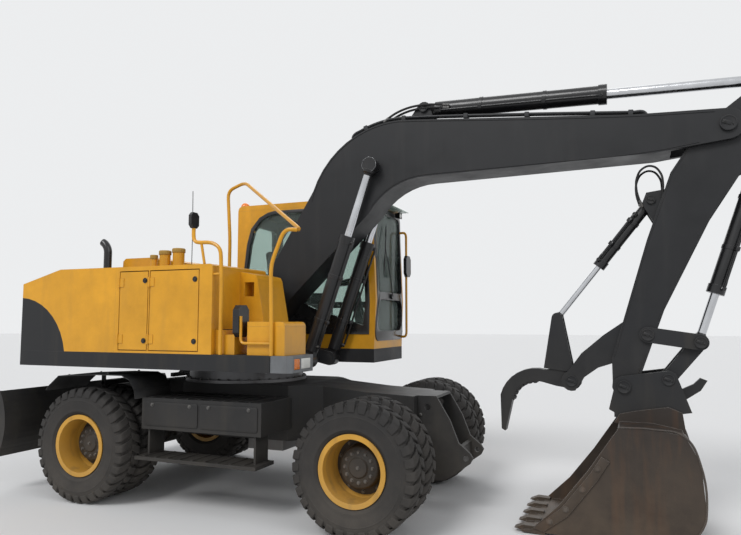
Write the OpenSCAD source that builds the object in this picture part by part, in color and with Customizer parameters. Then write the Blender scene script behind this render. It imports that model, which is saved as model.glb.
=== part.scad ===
// Wheeled excavator with twin tyres, a rear dozer blade, a one-piece boom and a bucket with a thumb.
// X points forward, Y to the machine's left and Z up, in millimetres, with the tyres on Z = 0.
// Places along X are measured from the slewing axis and shifted once, in machine().

/* [Wheels] */
// Distance between the two axles
wheelbase = 2750; // [2600:10:2900]
// Front axle, ahead of the slewing axis
front_axle_x = 1730; // [1700:5:1760]
// Radius over the lugs
tyre_radius = 527; // [510:1:540]
// Width of one tyre
tyre_width = 280; // [260:2:284]
// Gap between the two tyres of a pair
twin_gap = 20; // [16:2:40]
// Width over the outer tyres
overall_width = 2490; // [2480:5:2540]
// Lugs on each half of a tyre
lug_count = 13; // [12:1:13]
// Height of a lug
lug_height = 24; // [12:1:34]
// Radius of the rim's bead seat
rim_radius = 254; // [250:1:258]
// Height of the rim's flange over the bead seat
flange_height = 28; // [20:1:34]

/* [Axles and steering] */
// Kingpins from the middle of the machine
kingpin_y = 600; // [590:2:606]
// Half of the axle beam's height
beam_half = 95; // [80:1:105]
// Radius of the differential housing
diff_radius = 165; // [140:5:180]
// Radius of the wheel spindle
spindle_radius = 95; // [80:1:105]

/* [Chassis] */
// Top of the chassis
chassis_top = 1080; // [1075:1:1090]
// Half of the chassis' width beside the wheels
chassis_half = 330; // [280:5:345]
// Half of the chassis' width between the wheels
belly_half = 550; // [500:5:560]
// Underside of the chassis over the axles
arch_z = 720; // [715:1:760]
// Underside of the chassis between the axles
belly_z = 580; // [560:5:640]
// Rear end of the chassis
chassis_rear = -1450; // [-1480:5:-1440]
// Front end of the chassis
chassis_front = 1945; // [1935:5:1960]
// Outer side of the step boxes
step_y = 1160; // [1100:5:1200]
// Thickness of the front bracket's cheek plates
cheek = 30; // [20:1:40]
// Middle of each cheek plate from the machine's middle
cheek_y = 220; // [180:5:240]

/* [Dozer blade] */
// Width of the blade
blade_width = 2440; // [2200:10:2480]
// Height of the blade
blade_height = 640; // [560:10:680]
// Ground clearance of the raised blade
blade_clear = 345; // [300:5:380]
// Thickness of the mouldboard
blade_plate = 26; // [16:1:40]
// Depth of the mouldboard's hollow
blade_hollow = 85; // [50:5:100]

/* [Slewing ring] */
// Outer radius of the slewing ring
ring_radius = 580; // [560:5:600]
// Radius between the fixed and the turning race
race_radius = 470; // [440:5:500]

/* [Upper body] */
// Underside of the platform
platform_z = 1250; // [1245:1:1260]
// Thickness of the platform
platform_t = 140; // [120:5:150]
// Radius of the tail
tail_radius = 2190; // [2150:5:2220]
// Half of the upper body's width
upper_half = 1225; // [1215:1:1240]
// Top of the hood
hood_top = 2170; // [2100:5:2200]
// Thickness of the hood's walls and doors
panel_t = 30; // [20:1:40]
// Gap round a door
door_gap = 8; // [6:1:12]

/* [Cab] */
// Right side of the cab
cab_right = 360; // [352:1:400]
// Left side of the cab
cab_left = 1222; // [1200:1:1225]
// Top of the cab's roof
cab_top = 2985; // [2900:5:3050]
// Thickness of the cab's walls
cab_wall = 45; // [35:1:60]
// Thickness of a window pane
glass_t = 6; // [5:1:8]

/* [Boom] */
// Half of the boom's width
boom_half = 180; // [165:1:184]
// Foot pin, ahead of the slewing axis
foot_x = 200; // [180:5:220]
// Foot pin's height
foot_z = 1680; // [1670:5:1690]
// Boom's reach from the foot pin to the arm pin, forward
boom_reach = 4310; // [4290:5:4330]
// Boom's rise from the foot pin to the arm pin
boom_rise = 1550; // [1540:5:1560]
// Radius of the boom cylinders' barrels
boom_barrel = 65; // [55:1:68]
// Middle of a boom cylinder from the machine's middle
boom_cyl_y = 260; // [258:1:265]

/* [Arm and bucket] */
// Arm's length from pin to pin
arm_length = 2244; // [2230:2:2260]
// Arm's angle at rest, from the horizontal
arm_angle = -111.7; // [-113:0.1:-111]
// Half of the arm's width
arm_half = 130; // [115:1:134]
// Width of the bucket
bucket_width = 1000; // [900:10:1050]
// Thickness of the bucket's shell
bucket_t = 18; // [12:1:24]
// Number of teeth
tooth_count = 5; // [4:1:6]
// Width of the thumb's claw
claw_width = 110; // [80:2:150]

/* [Hidden] */

yellow = "#d9a928";
charcoal = "#2f3133";
black = "#1b1c1d";
steel = "#8d9093";
chrome = "#c9ccd0";
rubber = "#232323";

fit = 0.3;
fn_big = 64;
fn_mid = 40;
fn_small = 24;

rear_axle_x = front_axle_x - wheelbase;
axle_z = tyre_radius;
tyre_outer_y = overall_width / 2 - tyre_width / 2;
tyre_inner_y = tyre_outer_y - tyre_width - twin_gap;
twin_mid_y = (tyre_outer_y + tyre_inner_y) / 2;
tyre_inner_face = tyre_inner_y - tyre_width / 2;
platform_top = platform_z + platform_t;
foot = [foot_x, foot_z];
boom_tip = foot + [boom_reach, boom_rise];

function along(a) = [cos(a), sin(a)];
function across(a) = [-sin(a), cos(a)];
function arm_point(u, v) = boom_tip + u * along(arm_angle) + v * across(arm_angle);
function arc(c, r, a0, a1, n) = [for (i = [0 : n]) c + r * along(a0 + (a1 - a0) * i / n)];
function heading(a, b) = atan2(b[1] - a[1], b[0] - a[0]);

// Pins of the boom, arm, bucket and thumb in the X-Z plane
boom_cyl_base = [850, platform_z + 45];
boom_cyl_pin = foot + [1300, 1470];
arm_cyl_base = foot + [1780, 2020];
arm_lever = arm_point(-500, 253);
bucket_cyl_base = arm_point(90, 315);
idler_pin = arm_point(arm_length - 460, 22);
link_pin = arm_point(arm_length - 548, 396);
bucket_pin = arm_point(arm_length, 0);
coupler_pin = arm_point(arm_length - 183, 282);
thumb_pin = arm_point(arm_length + 128, -392);
thumb_base = arm_point(726, -330);
thumb_lever = arm_point(arm_length - 325, -690);

blade_pin = [chassis_rear + 130, 420];
blade_cyl_base = [chassis_rear - 60, 930];
blade_cyl_pin = [-1915, blade_clear + 190];
blade_face = -1990;
blade_cyl_y = 300;

front_reach = arm_lever[0] + 95;
rear_reach = blade_face - blade_hollow - 120;
origin_x = (front_reach + rear_reach) / 2;

// Moves the machine so that the middle of its length is at X = 0
module machine() {
    translate([-origin_x, 0, 0])
        children();
}

// Extrudes an X-Z outline from y0 to y1
module side(y0, y1) {
    translate([0, y1, 0])
        rotate([90, 0, 0])
            linear_extrude(y1 - y0)
                children();
}

// Extrudes an X-Y outline from z0 to z1
module plan(z0, z1) {
    translate([0, 0, z0])
        linear_extrude(z1 - z0)
            children();
}

// Extrudes a Y-Z outline from x0 to x1
module front(x0, x1) {
    translate([x0, 0, 0])
        rotate([90, 0, 90])
            linear_extrude(x1 - x0)
                children();
}

// A round bar across the machine, at an X-Z place
module pin(p, r, y0, y1, fn = fn_mid) {
    translate([p[0], y1, p[1]])
        rotate([90, 0, 0])
            cylinder(r = r, h = y1 - y0, $fn = fn);
}

// The same shape on both sides of the machine
module both() {
    children();
    mirror([0, 1, 0])
        children();
}

module block(a, b) {
    translate(a)
        cube(b - a);
}

// Places its children at a wheel's middle plane, with Z along the outward axle line
module at_wheel(x, y, s) {
    translate([x, s * y, axle_z])
        rotate([-90 * s, 0, 0])
            children();
}

// Places its children on a pin, with X along the line towards the second pin
module on_line(a, b, y = 0) {
    translate([a[0], y, a[1]])
        rotate([0, -heading(a, b), 0])
            children();
}

// Wheels

// Half of a tyre, from its middle plane to one side, with its lugs turned by a part of the pitch
module tyre_half(s, turn) {
    w = tyre_width / 2;
    n = lug_count;
    pitch = 360 / n;
    root = tyre_radius - lug_height;
    bead = (rim_radius + fit) / cos(90 / n);
    belly = rim_radius + 140;
    // Columns of the tread: [part of the pitch, radius]
    tread = [[0, tyre_radius], [0.5, tyre_radius], [0.58, root], [0.92, root]];
    crown = [for (i = [0 : n - 1], c = tread) c[1] * along((i + c[0] + turn) * pitch)];
    waist = [for (i = [0 : 2 * n - 1]) along((i / 2 + 0.25 + turn) * pitch)];
    // Rings: middle and shoulder have four points a pitch, belly and bead two
    points = concat(
        [for (c = crown) [c[0], c[1], 0]],
        [for (c = crown) [c[0], c[1], s * (w - 30)]],
        [for (c = waist) [c[0] * belly, c[1] * belly, s * w]],
        [for (c = waist) [c[0] * bead, c[1] * bead, s * (w - 43)]],
        [for (c = waist) [c[0] * bead, c[1] * bead, 0]]);
    a = 4 * n;
    b = 8 * n;
    c = 10 * n;
    d = 12 * n;
    side_faces = concat(
        [for (i = [0 : a - 1]) let (j = (i + 1) % a) each [[i, j, a + j], [i, a + j, a + i]]],
        [for (i = [0 : n - 1]) let (
            q = a + 4 * i,
            q4 = a + (4 * i + 4) % a,
            e = b + 2 * i,
            e2 = b + (2 * i + 2) % (2 * n)
        ) each [[q, q + 1, e], [q + 1, e + 1, e], [q + 1, q + 2, e + 1], [q + 2, q + 3, e + 1],
            [q + 3, e2, e + 1], [q + 3, q4, e2]]],
        [for (i = [0 : 2 * n - 1]) let (j = (i + 1) % (2 * n))
            each [[b + i, b + j, c + j], [b + i, c + j, c + i],
                [c + i, c + j, d + j], [c + i, d + j, d + i]]],
        [for (i = [0 : n - 1]) let (
            q = 4 * i,
            q4 = (4 * i + 4) % a,
            e = d + 2 * i,
            e2 = d + (2 * i + 2) % (2 * n)
        ) each [[q + 1, q, e], [q + 1, e, e + 1], [q + 2, q + 1, e + 1], [q + 3, q + 2, e + 1],
            [q + 3, e + 1, e2], [q4, q + 3, e2]]]);
    polyhedron(points, s > 0 ? [for (f = side_faces) [f[2], f[1], f[0]]] : side_faces);
}

module tyres(x, s) {
    color(rubber)
        for (y = [tyre_inner_y, tyre_outer_y])
            at_wheel(x, y, s)
                rotate(90 * s)
                    union() {
                        tyre_half(1, 0);
                        tyre_half(-1, 0.5);
                    }
}

// Two rims back to back on one drum, with the hub's cover outside
module rims(x, s) {
    pair = tyre_inner_y + tyre_width / 2 + twin_gap / 2;
    seat = tyre_width / 2 - 34;
    lip = seat + 14;
    step = pair - tyre_inner_y;
    flange = rim_radius + flange_height;
    tube = rim_radius - 12;
    bore = spindle_radius + fit;
    color(yellow)
        at_wheel(x, pair, s)
            difference() {
                rotate_extrude($fn = fn_big)
                    polygon([
                        [bore, -step - 60], [150, -step - 60], [165, -40],
                        [tube - 20, -16], [tube, -60],
                        [tube, -step - lip], [flange, -step - lip], [flange, -step - seat],
                        [rim_radius, -step - seat], [rim_radius, -step + seat],
                        [flange, -step + seat], [flange, -step + lip], [rim_radius, -step + lip],
                        [rim_radius, step - lip], [flange, step - lip], [flange, step - seat],
                        [rim_radius, step - seat], [rim_radius, step + seat],
                        [flange, step + seat], [flange, step + lip], [tube, step + lip],
                        [tube, 60], [tube - 20, 16], [175, 22], [165, 100], [150, 116], [85, 124],
                        [70, 138], [0, 138], [0, 60], [bore, 60]
                    ]);
                for (i = [0 : 7])
                    rotate(45 * i)
                        translate([200, 0, -40])
                            cylinder(r = 17, h = 80, $fn = fn_small);
            }
}

// Undercarriage

module chassis() {
    turn = 520;
    color(charcoal) {
        intersection() {
            side(-belly_half, belly_half)
                polygon([
                    [chassis_rear, 360], [chassis_rear + 210, 360], [chassis_rear + 240, 700],
                    [chassis_rear + 260, arch_z],
                    [rear_axle_x + 300, arch_z], [rear_axle_x + 440, belly_z],
                    [front_axle_x - 480, belly_z], [front_axle_x - 330, arch_z],
                    [chassis_front, arch_z], [chassis_front, 1010],
                    [front_axle_x - 250, 1030], [900, chassis_top],
                    [-700, chassis_top], [chassis_rear, 1000]
                ]);
            plan(300, chassis_top)
                polygon([
                    [chassis_rear, -chassis_half], [rear_axle_x + turn, -chassis_half],
                    [rear_axle_x + turn + 120, -belly_half], [800, -belly_half],
                    [front_axle_x - turn - 160, -chassis_half], [chassis_front, -chassis_half],
                    [chassis_front, chassis_half], [front_axle_x - turn - 160, chassis_half],
                    [800, belly_half], [rear_axle_x + turn + 120, belly_half],
                    [rear_axle_x + turn, chassis_half], [chassis_rear, chassis_half]
                ]);
        }
        both()
            blade_lugs();
    }
}

// Plates and pins on the chassis' rear end that hold the blade's arms and cylinders
module blade_lugs() {
    side(blade_cyl_y - blade_cyl[3] - 24, blade_cyl_y - blade_cyl[3] - 4)
        blade_cyl_lug();
    side(blade_cyl_y + blade_cyl[3] + 4, blade_cyl_y + blade_cyl[3] + 32)
        blade_cyl_lug();
    side(chassis_half - 1, blade_cyl_y + blade_cyl[3] + 32)
        polygon([
            [chassis_rear, 800], [chassis_rear + 60, 800], [chassis_rear + 60, 1000], [chassis_rear, 1000]
        ]);
    pin(blade_cyl_base, blade_cyl[5], blade_cyl_y - blade_cyl[3] - 30, blade_cyl_y + blade_cyl[3] + 38);
    pin(blade_pin, 75, chassis_half - 1, 400);
    pin(blade_pin, 40, 399, 460);
}

module blade_cyl_lug() {
    polygon(concat(
        [[chassis_rear + 10, 800]],
        arc(blade_cyl_base, 60, 250, 90, 8),
        [[chassis_rear + 10, 1000]]));
}

// Two cheek plates with cross plates on the front end of the chassis
module front_bracket() {
    x = chassis_front;
    color(charcoal)
        difference() {
            union() {
                both()
                    side(cheek_y - cheek / 2, cheek_y + cheek / 2)
                        polygon([
                            [x, 280], [x + 245, 280], [x + 475, 440], [x + 500, 490], [x + 475, 530],
                            [x + 375, 610], [x + 300, 800], [x + 175, 1010], [x, 1010]
                        ]);
                side(-cheek_y - cheek / 2, cheek_y + cheek / 2)
                    polygon([[x, 990], [x + 190, 990], [x + 175, 1010], [x, 1010]]);
                side(-cheek_y, cheek_y)
                    polygon([[x, 280], [x + 25, 280], [x + 25, 990], [x, 990]]);
                side(-cheek_y, cheek_y)
                    polygon([[x + 360, 370], [x + 385, 385], [x + 385, 560], [x + 360, 575]]);
            }
            both()
                pin([x + 95, 910], 28, cheek_y - 60, cheek_y + 60, fn_small);
            both()
                pin([x + 440, 485], 24, cheek_y - 60, cheek_y + 60, fn_small);
        }
}

module slew_ring() {
    color(steel)
        difference() {
            union() {
                translate([0, 0, chassis_top])
                    cylinder(r = ring_radius + 40, h = 30, $fn = fn_big);
                translate([0, 0, chassis_top + 30])
                    cylinder(r = ring_radius, h = platform_z - chassis_top - 36, $fn = fn_big);
            }
            translate([0, 0, chassis_top + 30])
                cylinder(r = race_radius + fit, h = 200, $fn = fn_big);
        }
}

// The beam, differential and mounting pad that both axles share
module axle_body(x, end_y) {
    nose = x > 0 ? -1 : 1;
    pin([x, axle_z], beam_half - 10, -end_y, end_y);
    pin([x, axle_z], diff_radius - 25, -190, 190, fn_big);
    pin([x, axle_z], diff_radius, -110, 110, fn_big);
    block([x - 110, -100, axle_z + 60], [x + 110, 100, arch_z]);
    translate([x + nose * (diff_radius - 40), -75, axle_z - 75])
        mirror([nose < 0 ? 1 : 0, 0, 0])
            cube([70, 150, 150]);
}

module front_axle() {
    arm = 70;
    gap = 110;
    color(charcoal) {
        axle_body(front_axle_x, kingpin_y - 130);
        both() {
            for (z = [-gap - arm, gap])
                plan(axle_z + z, axle_z + z + arm)
                    translate([front_axle_x, kingpin_y]) {
                        circle(r = 55, $fn = fn_mid);
                        translate([-45, -160])
                            square([90, 160]);
                    }
            block([front_axle_x - 45, kingpin_y - 160, axle_z - gap - 1],
                [front_axle_x + 45, kingpin_y - 100, axle_z + gap + 1]);
        }
    }
}

// Knuckle between the axle's fork, with the spindle that carries the twin wheel
module knuckle(s) {
    color(charcoal) {
        translate([front_axle_x, s * kingpin_y, axle_z - 110 + fit])
            cylinder(r = 52, h = 220 - 2 * fit, $fn = fn_mid);
        translate([front_axle_x, s * kingpin_y, axle_z])
            rotate([-90 * s, 0, 0])
                cylinder(r = spindle_radius, h = twin_mid_y - kingpin_y + 50, $fn = fn_mid);
    }
}

module rear_axle() {
    color(charcoal) {
        axle_body(rear_axle_x, tyre_inner_face - 90);
        both() {
            pin([rear_axle_x, axle_z], 150, tyre_inner_face - 90, tyre_inner_face - 30);
            pin([rear_axle_x, axle_z], spindle_radius, tyre_inner_face - 30, twin_mid_y + 50);
        }
    }
}

// Transfer gearbox under the belly and the two propeller shafts
module driveline() {
    shaft = 38;
    color(steel) {
        block([120, -140, axle_z - 130], [520, 140, belly_z]);
        for (r = [[rear_axle_x + diff_radius + 30, 120], [520, front_axle_x - diff_radius - 30]])
            translate([r[0], 0, axle_z])
                rotate([0, 90, 0])
                    cylinder(r = shaft, h = r[1] - r[0], $fn = fn_mid);
    }
}

// Step boxes between the wheels, with an open tread below
module side_steps() {
    x0 = rear_axle_x + 600;
    x1 = front_axle_x - 890;
    color(charcoal)
        both() {
            block([x0, belly_half, 700], [x1, step_y - 80, 980]);
            block([x0, step_y - 300, 440], [x1, step_y, 470]);
            for (x = [x0 + 60, x1 - 80])
                block([x, step_y - 300, 470], [x + 20, step_y - 100, 700]);
        }
}

// Dozer blade

module blade() {
    z0 = blade_clear;
    z1 = blade_clear + blade_height;
    zm = (z0 + z1) / 2;
    r = (pow(blade_height / 2, 2) + pow(blade_hollow, 2)) / (2 * blade_hollow);
    spread = asin(blade_height / 2 / r);
    c = [blade_face - r, zm];
    low = c[0] + r * cos(spread);
    half = blade_width / 2;
    color(charcoal)
        difference() {
            union() {
                side(-half, half)
                    polygon(concat(
                        arc(c, r, -spread, spread, 12),
                        arc(c, r - blade_plate, spread, -spread, 12)));
                both()
                    side(half - 20, half)
                        polygon(concat(
                            [[blade_face - blade_hollow - 120, z0], [low, z0]],
                            arc(c, r, -spread, spread, 12),
                            [[blade_face - blade_hollow - 60, z1]]));
                side(-half, half)
                    polygon([[low - 50, z0], [low + 10, z0], [low + 35, z0 + 70], [low - 5, z0 + 70]]);
                both()
                    side(410, 450)
                        blade_arm();
                both() {
                    side(240, 255)
                        blade_ear();
                    side(345, 360)
                        blade_ear();
                }
            }
            both()
                pin(blade_pin, 40 + fit, 300, 500);
        }
}

module blade_arm() {
    polygon(concat(
        arc(blade_pin, 75, 80, -70, 10),
        [[-1600, 330], [blade_face - 5, blade_clear + 30], [blade_face - 5, blade_clear + 400],
            [-1700, 640]]));
}

module blade_ear() {
    polygon(concat(
        [[blade_face - 5, blade_cyl_pin[1] + 110]],
        arc(blade_cyl_pin, 50, 90, -90, 8),
        [[blade_face - 5, blade_cyl_pin[1] - 110]]));
}

// A cylinder's barrel with its eye on pin a, pointing at pin b; its neck is as wide as the eye
module barrel(a, b, y, r, length, eye, half, pin_radius) {
    neck = eye + 35;
    on_line(a, b, y)
        difference() {
            union() {
                rotate([90, 0, 0])
                    translate([0, 0, -half])
                        cylinder(r = eye, h = 2 * half, $fn = fn_mid);
                block([0, -half + 1, -eye * 0.7], [neck + 10, half - 1, eye * 0.7]);
                translate([neck, 0, 0])
                    rotate([0, 90, 0])
                        cylinder(r = r, h = length - neck, $fn = fn_mid);
                translate([length - 70, 0, 0])
                    rotate([0, 90, 0])
                        cylinder(r = r + 9, h = 70, $fn = fn_mid);
            }
            translate([neck + 15, 0, 0])
                rotate([0, 90, 0])
                    cylinder(r = r * 0.55 + fit, h = length, $fn = fn_mid);
            rotate([90, 0, 0])
                translate([0, 0, -half - 1])
                    cylinder(r = pin_radius + fit, h = 2 * half + 2, $fn = fn_mid);
        }
}

// A cylinder's rod from its inner end, at a distance from pin a, to its eye on pin b
module ram(a, b, y, r, inner, eye, half) {
    on_line(b, a, y) {
        rotate([90, 0, 0])
            translate([0, 0, -half])
                cylinder(r = eye, h = 2 * half, $fn = fn_mid);
        rotate([0, 90, 0])
            cylinder(r = r, h = norm(b - a) - inner, $fn = fn_mid);
    }
}

// Cylinders: [barrel's radius, barrel's length, eye's radius, half of the eye's width,
// rod's inner end, pin's radius]
boom_cyl = [boom_barrel, 1260, 72, 44, 760, 36];
arm_cyl = [80, 1640, 66, 58, 1120, 36];
bucket_cyl = [60, 1200, 56, 62, 330, 30];
thumb_cyl = [44, 690, 40, 48, 330, 20];
blade_cyl = [52, 440, 45, 38, 160, 22];

module barrel_of(a, b, y, c) {
    color(black)
        barrel(a, b, y, c[0], c[1], c[2], c[3], c[5]);
}

module rod_of(a, b, y, c) {
    color(chrome)
        ram(a, b, y, c[0] * 0.55, c[4], c[2], c[3]);
}

module blade_barrels() {
    for (s = [-1, 1])
        barrel_of(blade_cyl_base, blade_cyl_pin, blade_cyl_y * s, blade_cyl);
}

module blade_rods() {
    for (s = [-1, 1])
        rod_of(blade_cyl_base, blade_cyl_pin, blade_cyl_y * s, blade_cyl);
}

// Upper body

// The tail's round outline, cut at the sides
module tail_outline(x_front) {
    intersection() {
        circle(r = tail_radius, $fn = 96);
        translate([-tail_radius, -upper_half])
            square([tail_radius + x_front, 2 * upper_half]);
    }
}

module platform() {
    front_x = 740;
    foot_in = boom_half + 5;
    color(charcoal)
        difference() {
            union() {
                plan(platform_z, platform_top)
                    tail_outline(-400);
                plan(platform_z, platform_top)
                    polygon([
                        [-401, -upper_half], [lamp_x, -upper_half], [lamp_x, -800], [front_x, -740],
                        [front_x, cab_right - 15], [1290, cab_right], [1290, upper_half], [-401, upper_half]
                    ]);
                translate([0, 0, chassis_top + 60])
                    cylinder(r = race_radius, h = platform_t, $fn = fn_big);
                both()
                    side(foot_in, foot_in + 36)
                        polygon(concat(
                            [[-350, platform_top - 1], [-350, platform_top + 90]],
                            arc(foot, 120, 130, 10, 8),
                            [[560, platform_top + 60], [560, platform_top - 1]]));
                both() {
                    side(boom_cyl_y - 70, boom_cyl_y - 48)
                        boom_cyl_lug(front_x);
                    side(boom_cyl_y + 48, boom_cyl_y + 66)
                        boom_cyl_lug(front_x);
                }
            }
            both()
                pin(foot, 45 + fit, 100, 300);
        }
    color(steel)
        both()
            pin(boom_cyl_base, boom_cyl[5], boom_cyl_y - 71, boom_cyl_y + 67);
}

module boom_cyl_lug(x) {
    polygon(concat(
        [[x - 1, platform_z]],
        arc(boom_cyl_base, 70, -90, 75, 8),
        [[x - 1, platform_top]]));
}

// Line between the dark tail and the yellow hood, as seen from the side
tail_line = concat([[-2300, 1925], [-1850, 1905]], arc([-1850, 1290], 615, 88, 9.3, 9));

module counterweight() {
    color(charcoal)
        intersection() {
            plan(platform_top, 2000)
                tail_outline(-1090);
            side(-upper_half, upper_half)
                polygon(concat(tail_line, [[-2300, platform_top]]));
        }
}

// Front faces of the side housing and of the hood behind the cab
housing_front = 425;
housing_rear = -640;
housing_left = -boom_cyl_y - boom_barrel - 25;
hood_front = -400;
hood_rear_top = -1330;
engine_door_x = [-595, -262];
pump_door_x = [-250, 290];
cooler_door_x = [-1060, -470];
door_z = [1410, 2130];
lid_x = [-1250, -660];
lid_y = [-580, 900];
knuckle_radius = 8.5;

// Outline of the hood from the side, above the tail line
module hood_profile() {
    polygon(concat(
        tail_line,
        [[hood_front, platform_top], [hood_front, hood_top], [hood_rear_top, hood_top], [-1960, 2000],
            [-2300, 2000]]));
}

module hood() {
    inner = upper_half - panel_t;
    color(yellow)
        difference() {
            intersection() {
                plan(platform_top, hood_top)
                    tail_outline(hood_front);
                side(-upper_half, upper_half)
                    hood_profile();
            }
            block([housing_rear, -upper_half - 1, platform_top - 1], [0, housing_left, hood_top + 1]);
            block([-1240, -inner, platform_top - 1], [hood_front - panel_t, inner, hood_top - panel_t]);
            block([cooler_door_x[0], inner - 1, door_z[0]], [cooler_door_x[1], upper_half + 1, door_z[1]]);
            block([lid_x[0] + 10, lid_y[0], hood_top - panel_t - 1], [lid_x[1], lid_y[1], hood_top + 1]);
        }
}

// Right-hand housing over the pumps and the tank, with the steps ahead of it
module tank_housing() {
    inner = upper_half - panel_t;
    step_in = -800;
    color(yellow) {
        difference() {
            side(-upper_half, housing_left)
                polygon(concat(
                    [[housing_rear, platform_top], [housing_rear, hood_top]],
                    arc([housing_front - 30, hood_top - 30], 30, 90, 0, 3),
                    [[housing_front, platform_top]]));
            block([housing_rear + panel_t, -inner, platform_top + panel_t],
                [housing_front - panel_t, -inner + 380, hood_top - panel_t]);
            for (x = [engine_door_x, pump_door_x])
                block([x[0], -upper_half - 1, door_z[0]], [x[1], -inner + 1, door_z[1]]);
        }
        // Cover over the valves, with a step cut into its outer side
        difference() {
            side(step_in, housing_left)
                polygon([
                    [housing_front, platform_top], [700, platform_top], [700, 1500], [680, 1685], [610, 2060],
                    [590, 2095], [housing_front, 2130]
                ]);
            block([housing_front + 50, step_in - 1, 1900], [575, step_in + 130, 2030]);
        }
        // Lower step
        block([housing_front, -upper_half + 60, platform_top], [620, step_in, 1560]);
        block([housing_front, -upper_half + 60, 1560], [520, step_in, 1600]);
    }
    // Fuel filler, tank breather and a small cap, as [x, y, radius, height]
    color("#c79a2c")
        for (c = [[-440, -800, 52, 150], [-310, -760, 56, 170], [-540, -840, 30, 110]])
            translate([c[0], c[1], hood_top])
                cylinder(r = c[2], h = c[3], $fn = fn_mid);
}

module engine() {
    color(steel) {
        block([-1150, -340, platform_top], [-620, 620, 1960]);
        block([-1100, 660, platform_top], [-520, 780, 2040]);
    }
}

// Hinge knuckles on the outside of a door: barrels along Z at the door's rear edge, with leaves on the door
module knuckles(x, y, s, zs) {
    for (z = zs) {
        translate([x, s * (y + knuckle_radius + fit), z])
            cylinder(r = knuckle_radius, h = 90, $fn = fn_small);
        block([x, min(s * y, s * (y + 6)), z + 5], [x + door_gap + 45, max(s * y, s * (y + 6)), z + 85]);
    }
}

module side_door(x, y0, y1) {
    block([x[0] + door_gap, y0, door_z[0] + door_gap], [x[1] - door_gap, y1, door_z[1] - door_gap]);
}

module engine_door() {
    color(yellow) {
        side_door(engine_door_x, -upper_half, -upper_half + panel_t);
        knuckles(engine_door_x[0], upper_half, -1, [door_z[0] + 60, door_z[1] - 150]);
    }
}

module pump_door() {
    color(yellow) {
        side_door(pump_door_x, -upper_half, -upper_half + panel_t);
        knuckles(pump_door_x[0], upper_half, -1, [door_z[0] + 60, door_z[1] - 150]);
    }
}

module cooler_door() {
    color(yellow) {
        difference() {
            side_door(cooler_door_x, upper_half - panel_t, upper_half);
            for (i = [0 : 8])
                block([cooler_door_x[0] + 60, upper_half - panel_t - 1, 1500 + 58 * i],
                    [cooler_door_x[1] - 60, upper_half + 1, 1526 + 58 * i]);
        }
        knuckles(cooler_door_x[0], upper_half, 1, [door_z[0] + 10, door_z[1] - 110]);
    }
}

module hood_lid() {
    z0 = hood_top - panel_t;
    color(yellow) {
        block([lid_x[0] + 10 + door_gap, lid_y[0] + door_gap, z0],
            [lid_x[1] - door_gap, lid_y[1] - door_gap, hood_top]);
        side(-560, 480)
            polygon([
                [-1190, hood_top], [-740, hood_top], [-745, hood_top + 140], [-775, hood_top + 160],
                [-1150, hood_top + 160], [-1185, hood_top + 130]
            ]);
        for (y = [-560, 280]) {
            translate([lid_x[1], y, hood_top + knuckle_radius + fit])
                rotate([-90, 0, 0])
                    cylinder(r = knuckle_radius, h = 120, $fn = fn_small);
            block([lid_x[1] - door_gap - 45, y + 5, hood_top], [lid_x[1], y + 115, hood_top + 6]);
        }
    }
}

module exhaust() {
    x = -1260;
    y = -700;
    bend = 130;
    color(black) {
        translate([x, y, hood_top])
            cylinder(r = 60, h = 40, $fn = fn_mid);
        translate([x, y, hood_top + 40])
            cylinder(r = 40, h = 170, $fn = fn_mid);
        translate([x - bend, y, hood_top + 210])
            rotate([90, 0, 0])
                rotate_extrude(angle = 62, $fn = fn_big)
                    translate([bend, 0])
                        circle(r = 40, $fn = fn_small);
    }
}

box_x = [755, 1115];
box_y = [45 - upper_half, 410 - upper_half];
lamp_x = 1000;
box_top = 1670;

module tool_box() {
    wall = 20;
    color(yellow)
        difference() {
            block([box_x[0], box_y[0], platform_top], [box_x[1], box_y[1], box_top - 40]);
            block([box_x[0] + wall, box_y[0] + wall, platform_top + wall],
                [box_x[1] - wall, box_y[1] - wall, box_top + 1]);
        }
}

module tool_box_lid() {
    z0 = box_top - 40 + fit;
    color(yellow)
        side(box_y[0], box_y[1])
            polygon(concat(
                [[box_x[0], z0], [box_x[1], z0]],
                arc([box_x[1] - 39, z0], 39, 0, 90, 5),
                [[box_x[0], z0 + 39]]));
}

// Lamp housing on the corner under the tool box, with an indicator and a white lamp
module front_lamps() {
    x = 1190;
    y = 10 - upper_half;
    z = [platform_z, platform_top];
    color("#5c6064")
        difference() {
            plan(z[0], z[1])
                polygon([[lamp_x, y], [x - 40, y], [x, y + 40], [x, y + 395], [lamp_x, y + 395]]);
            block([x - 15, y + 65, z[0] + 25], [x + 1, y + 165, z[1] - 25]);
            block([x - 15, y + 185, z[0] + 25], [x + 1, y + 355, z[1] - 25]);
        }
    color("orange")
        block([x - 15, y + 67, z[0] + 27], [x - 3, y + 163, z[1] - 27]);
    color("white")
        block([x - 15, y + 187, z[0] + 27], [x - 3, y + 353, z[1] - 27]);
}

// Bends a path's corners over a length on both sides of each
function bent(p, reach, n = 4) = concat(
    [p[0]],
    [for (i = [1 : len(p) - 2], k = [0 : n])
        let (
            d0 = p[i - 1] - p[i],
            d1 = p[i + 1] - p[i],
            a = p[i] + d0 * min(reach / norm(d0), 0.45),
            b = p[i] + d1 * min(reach / norm(d1), 0.45),
            t = k / n
        )
        (1 - t) * (1 - t) * a + 2 * t * (1 - t) * p[i] + t * t * b],
    [p[len(p) - 1]]);

function unit(v) = v / norm(v);

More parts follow.
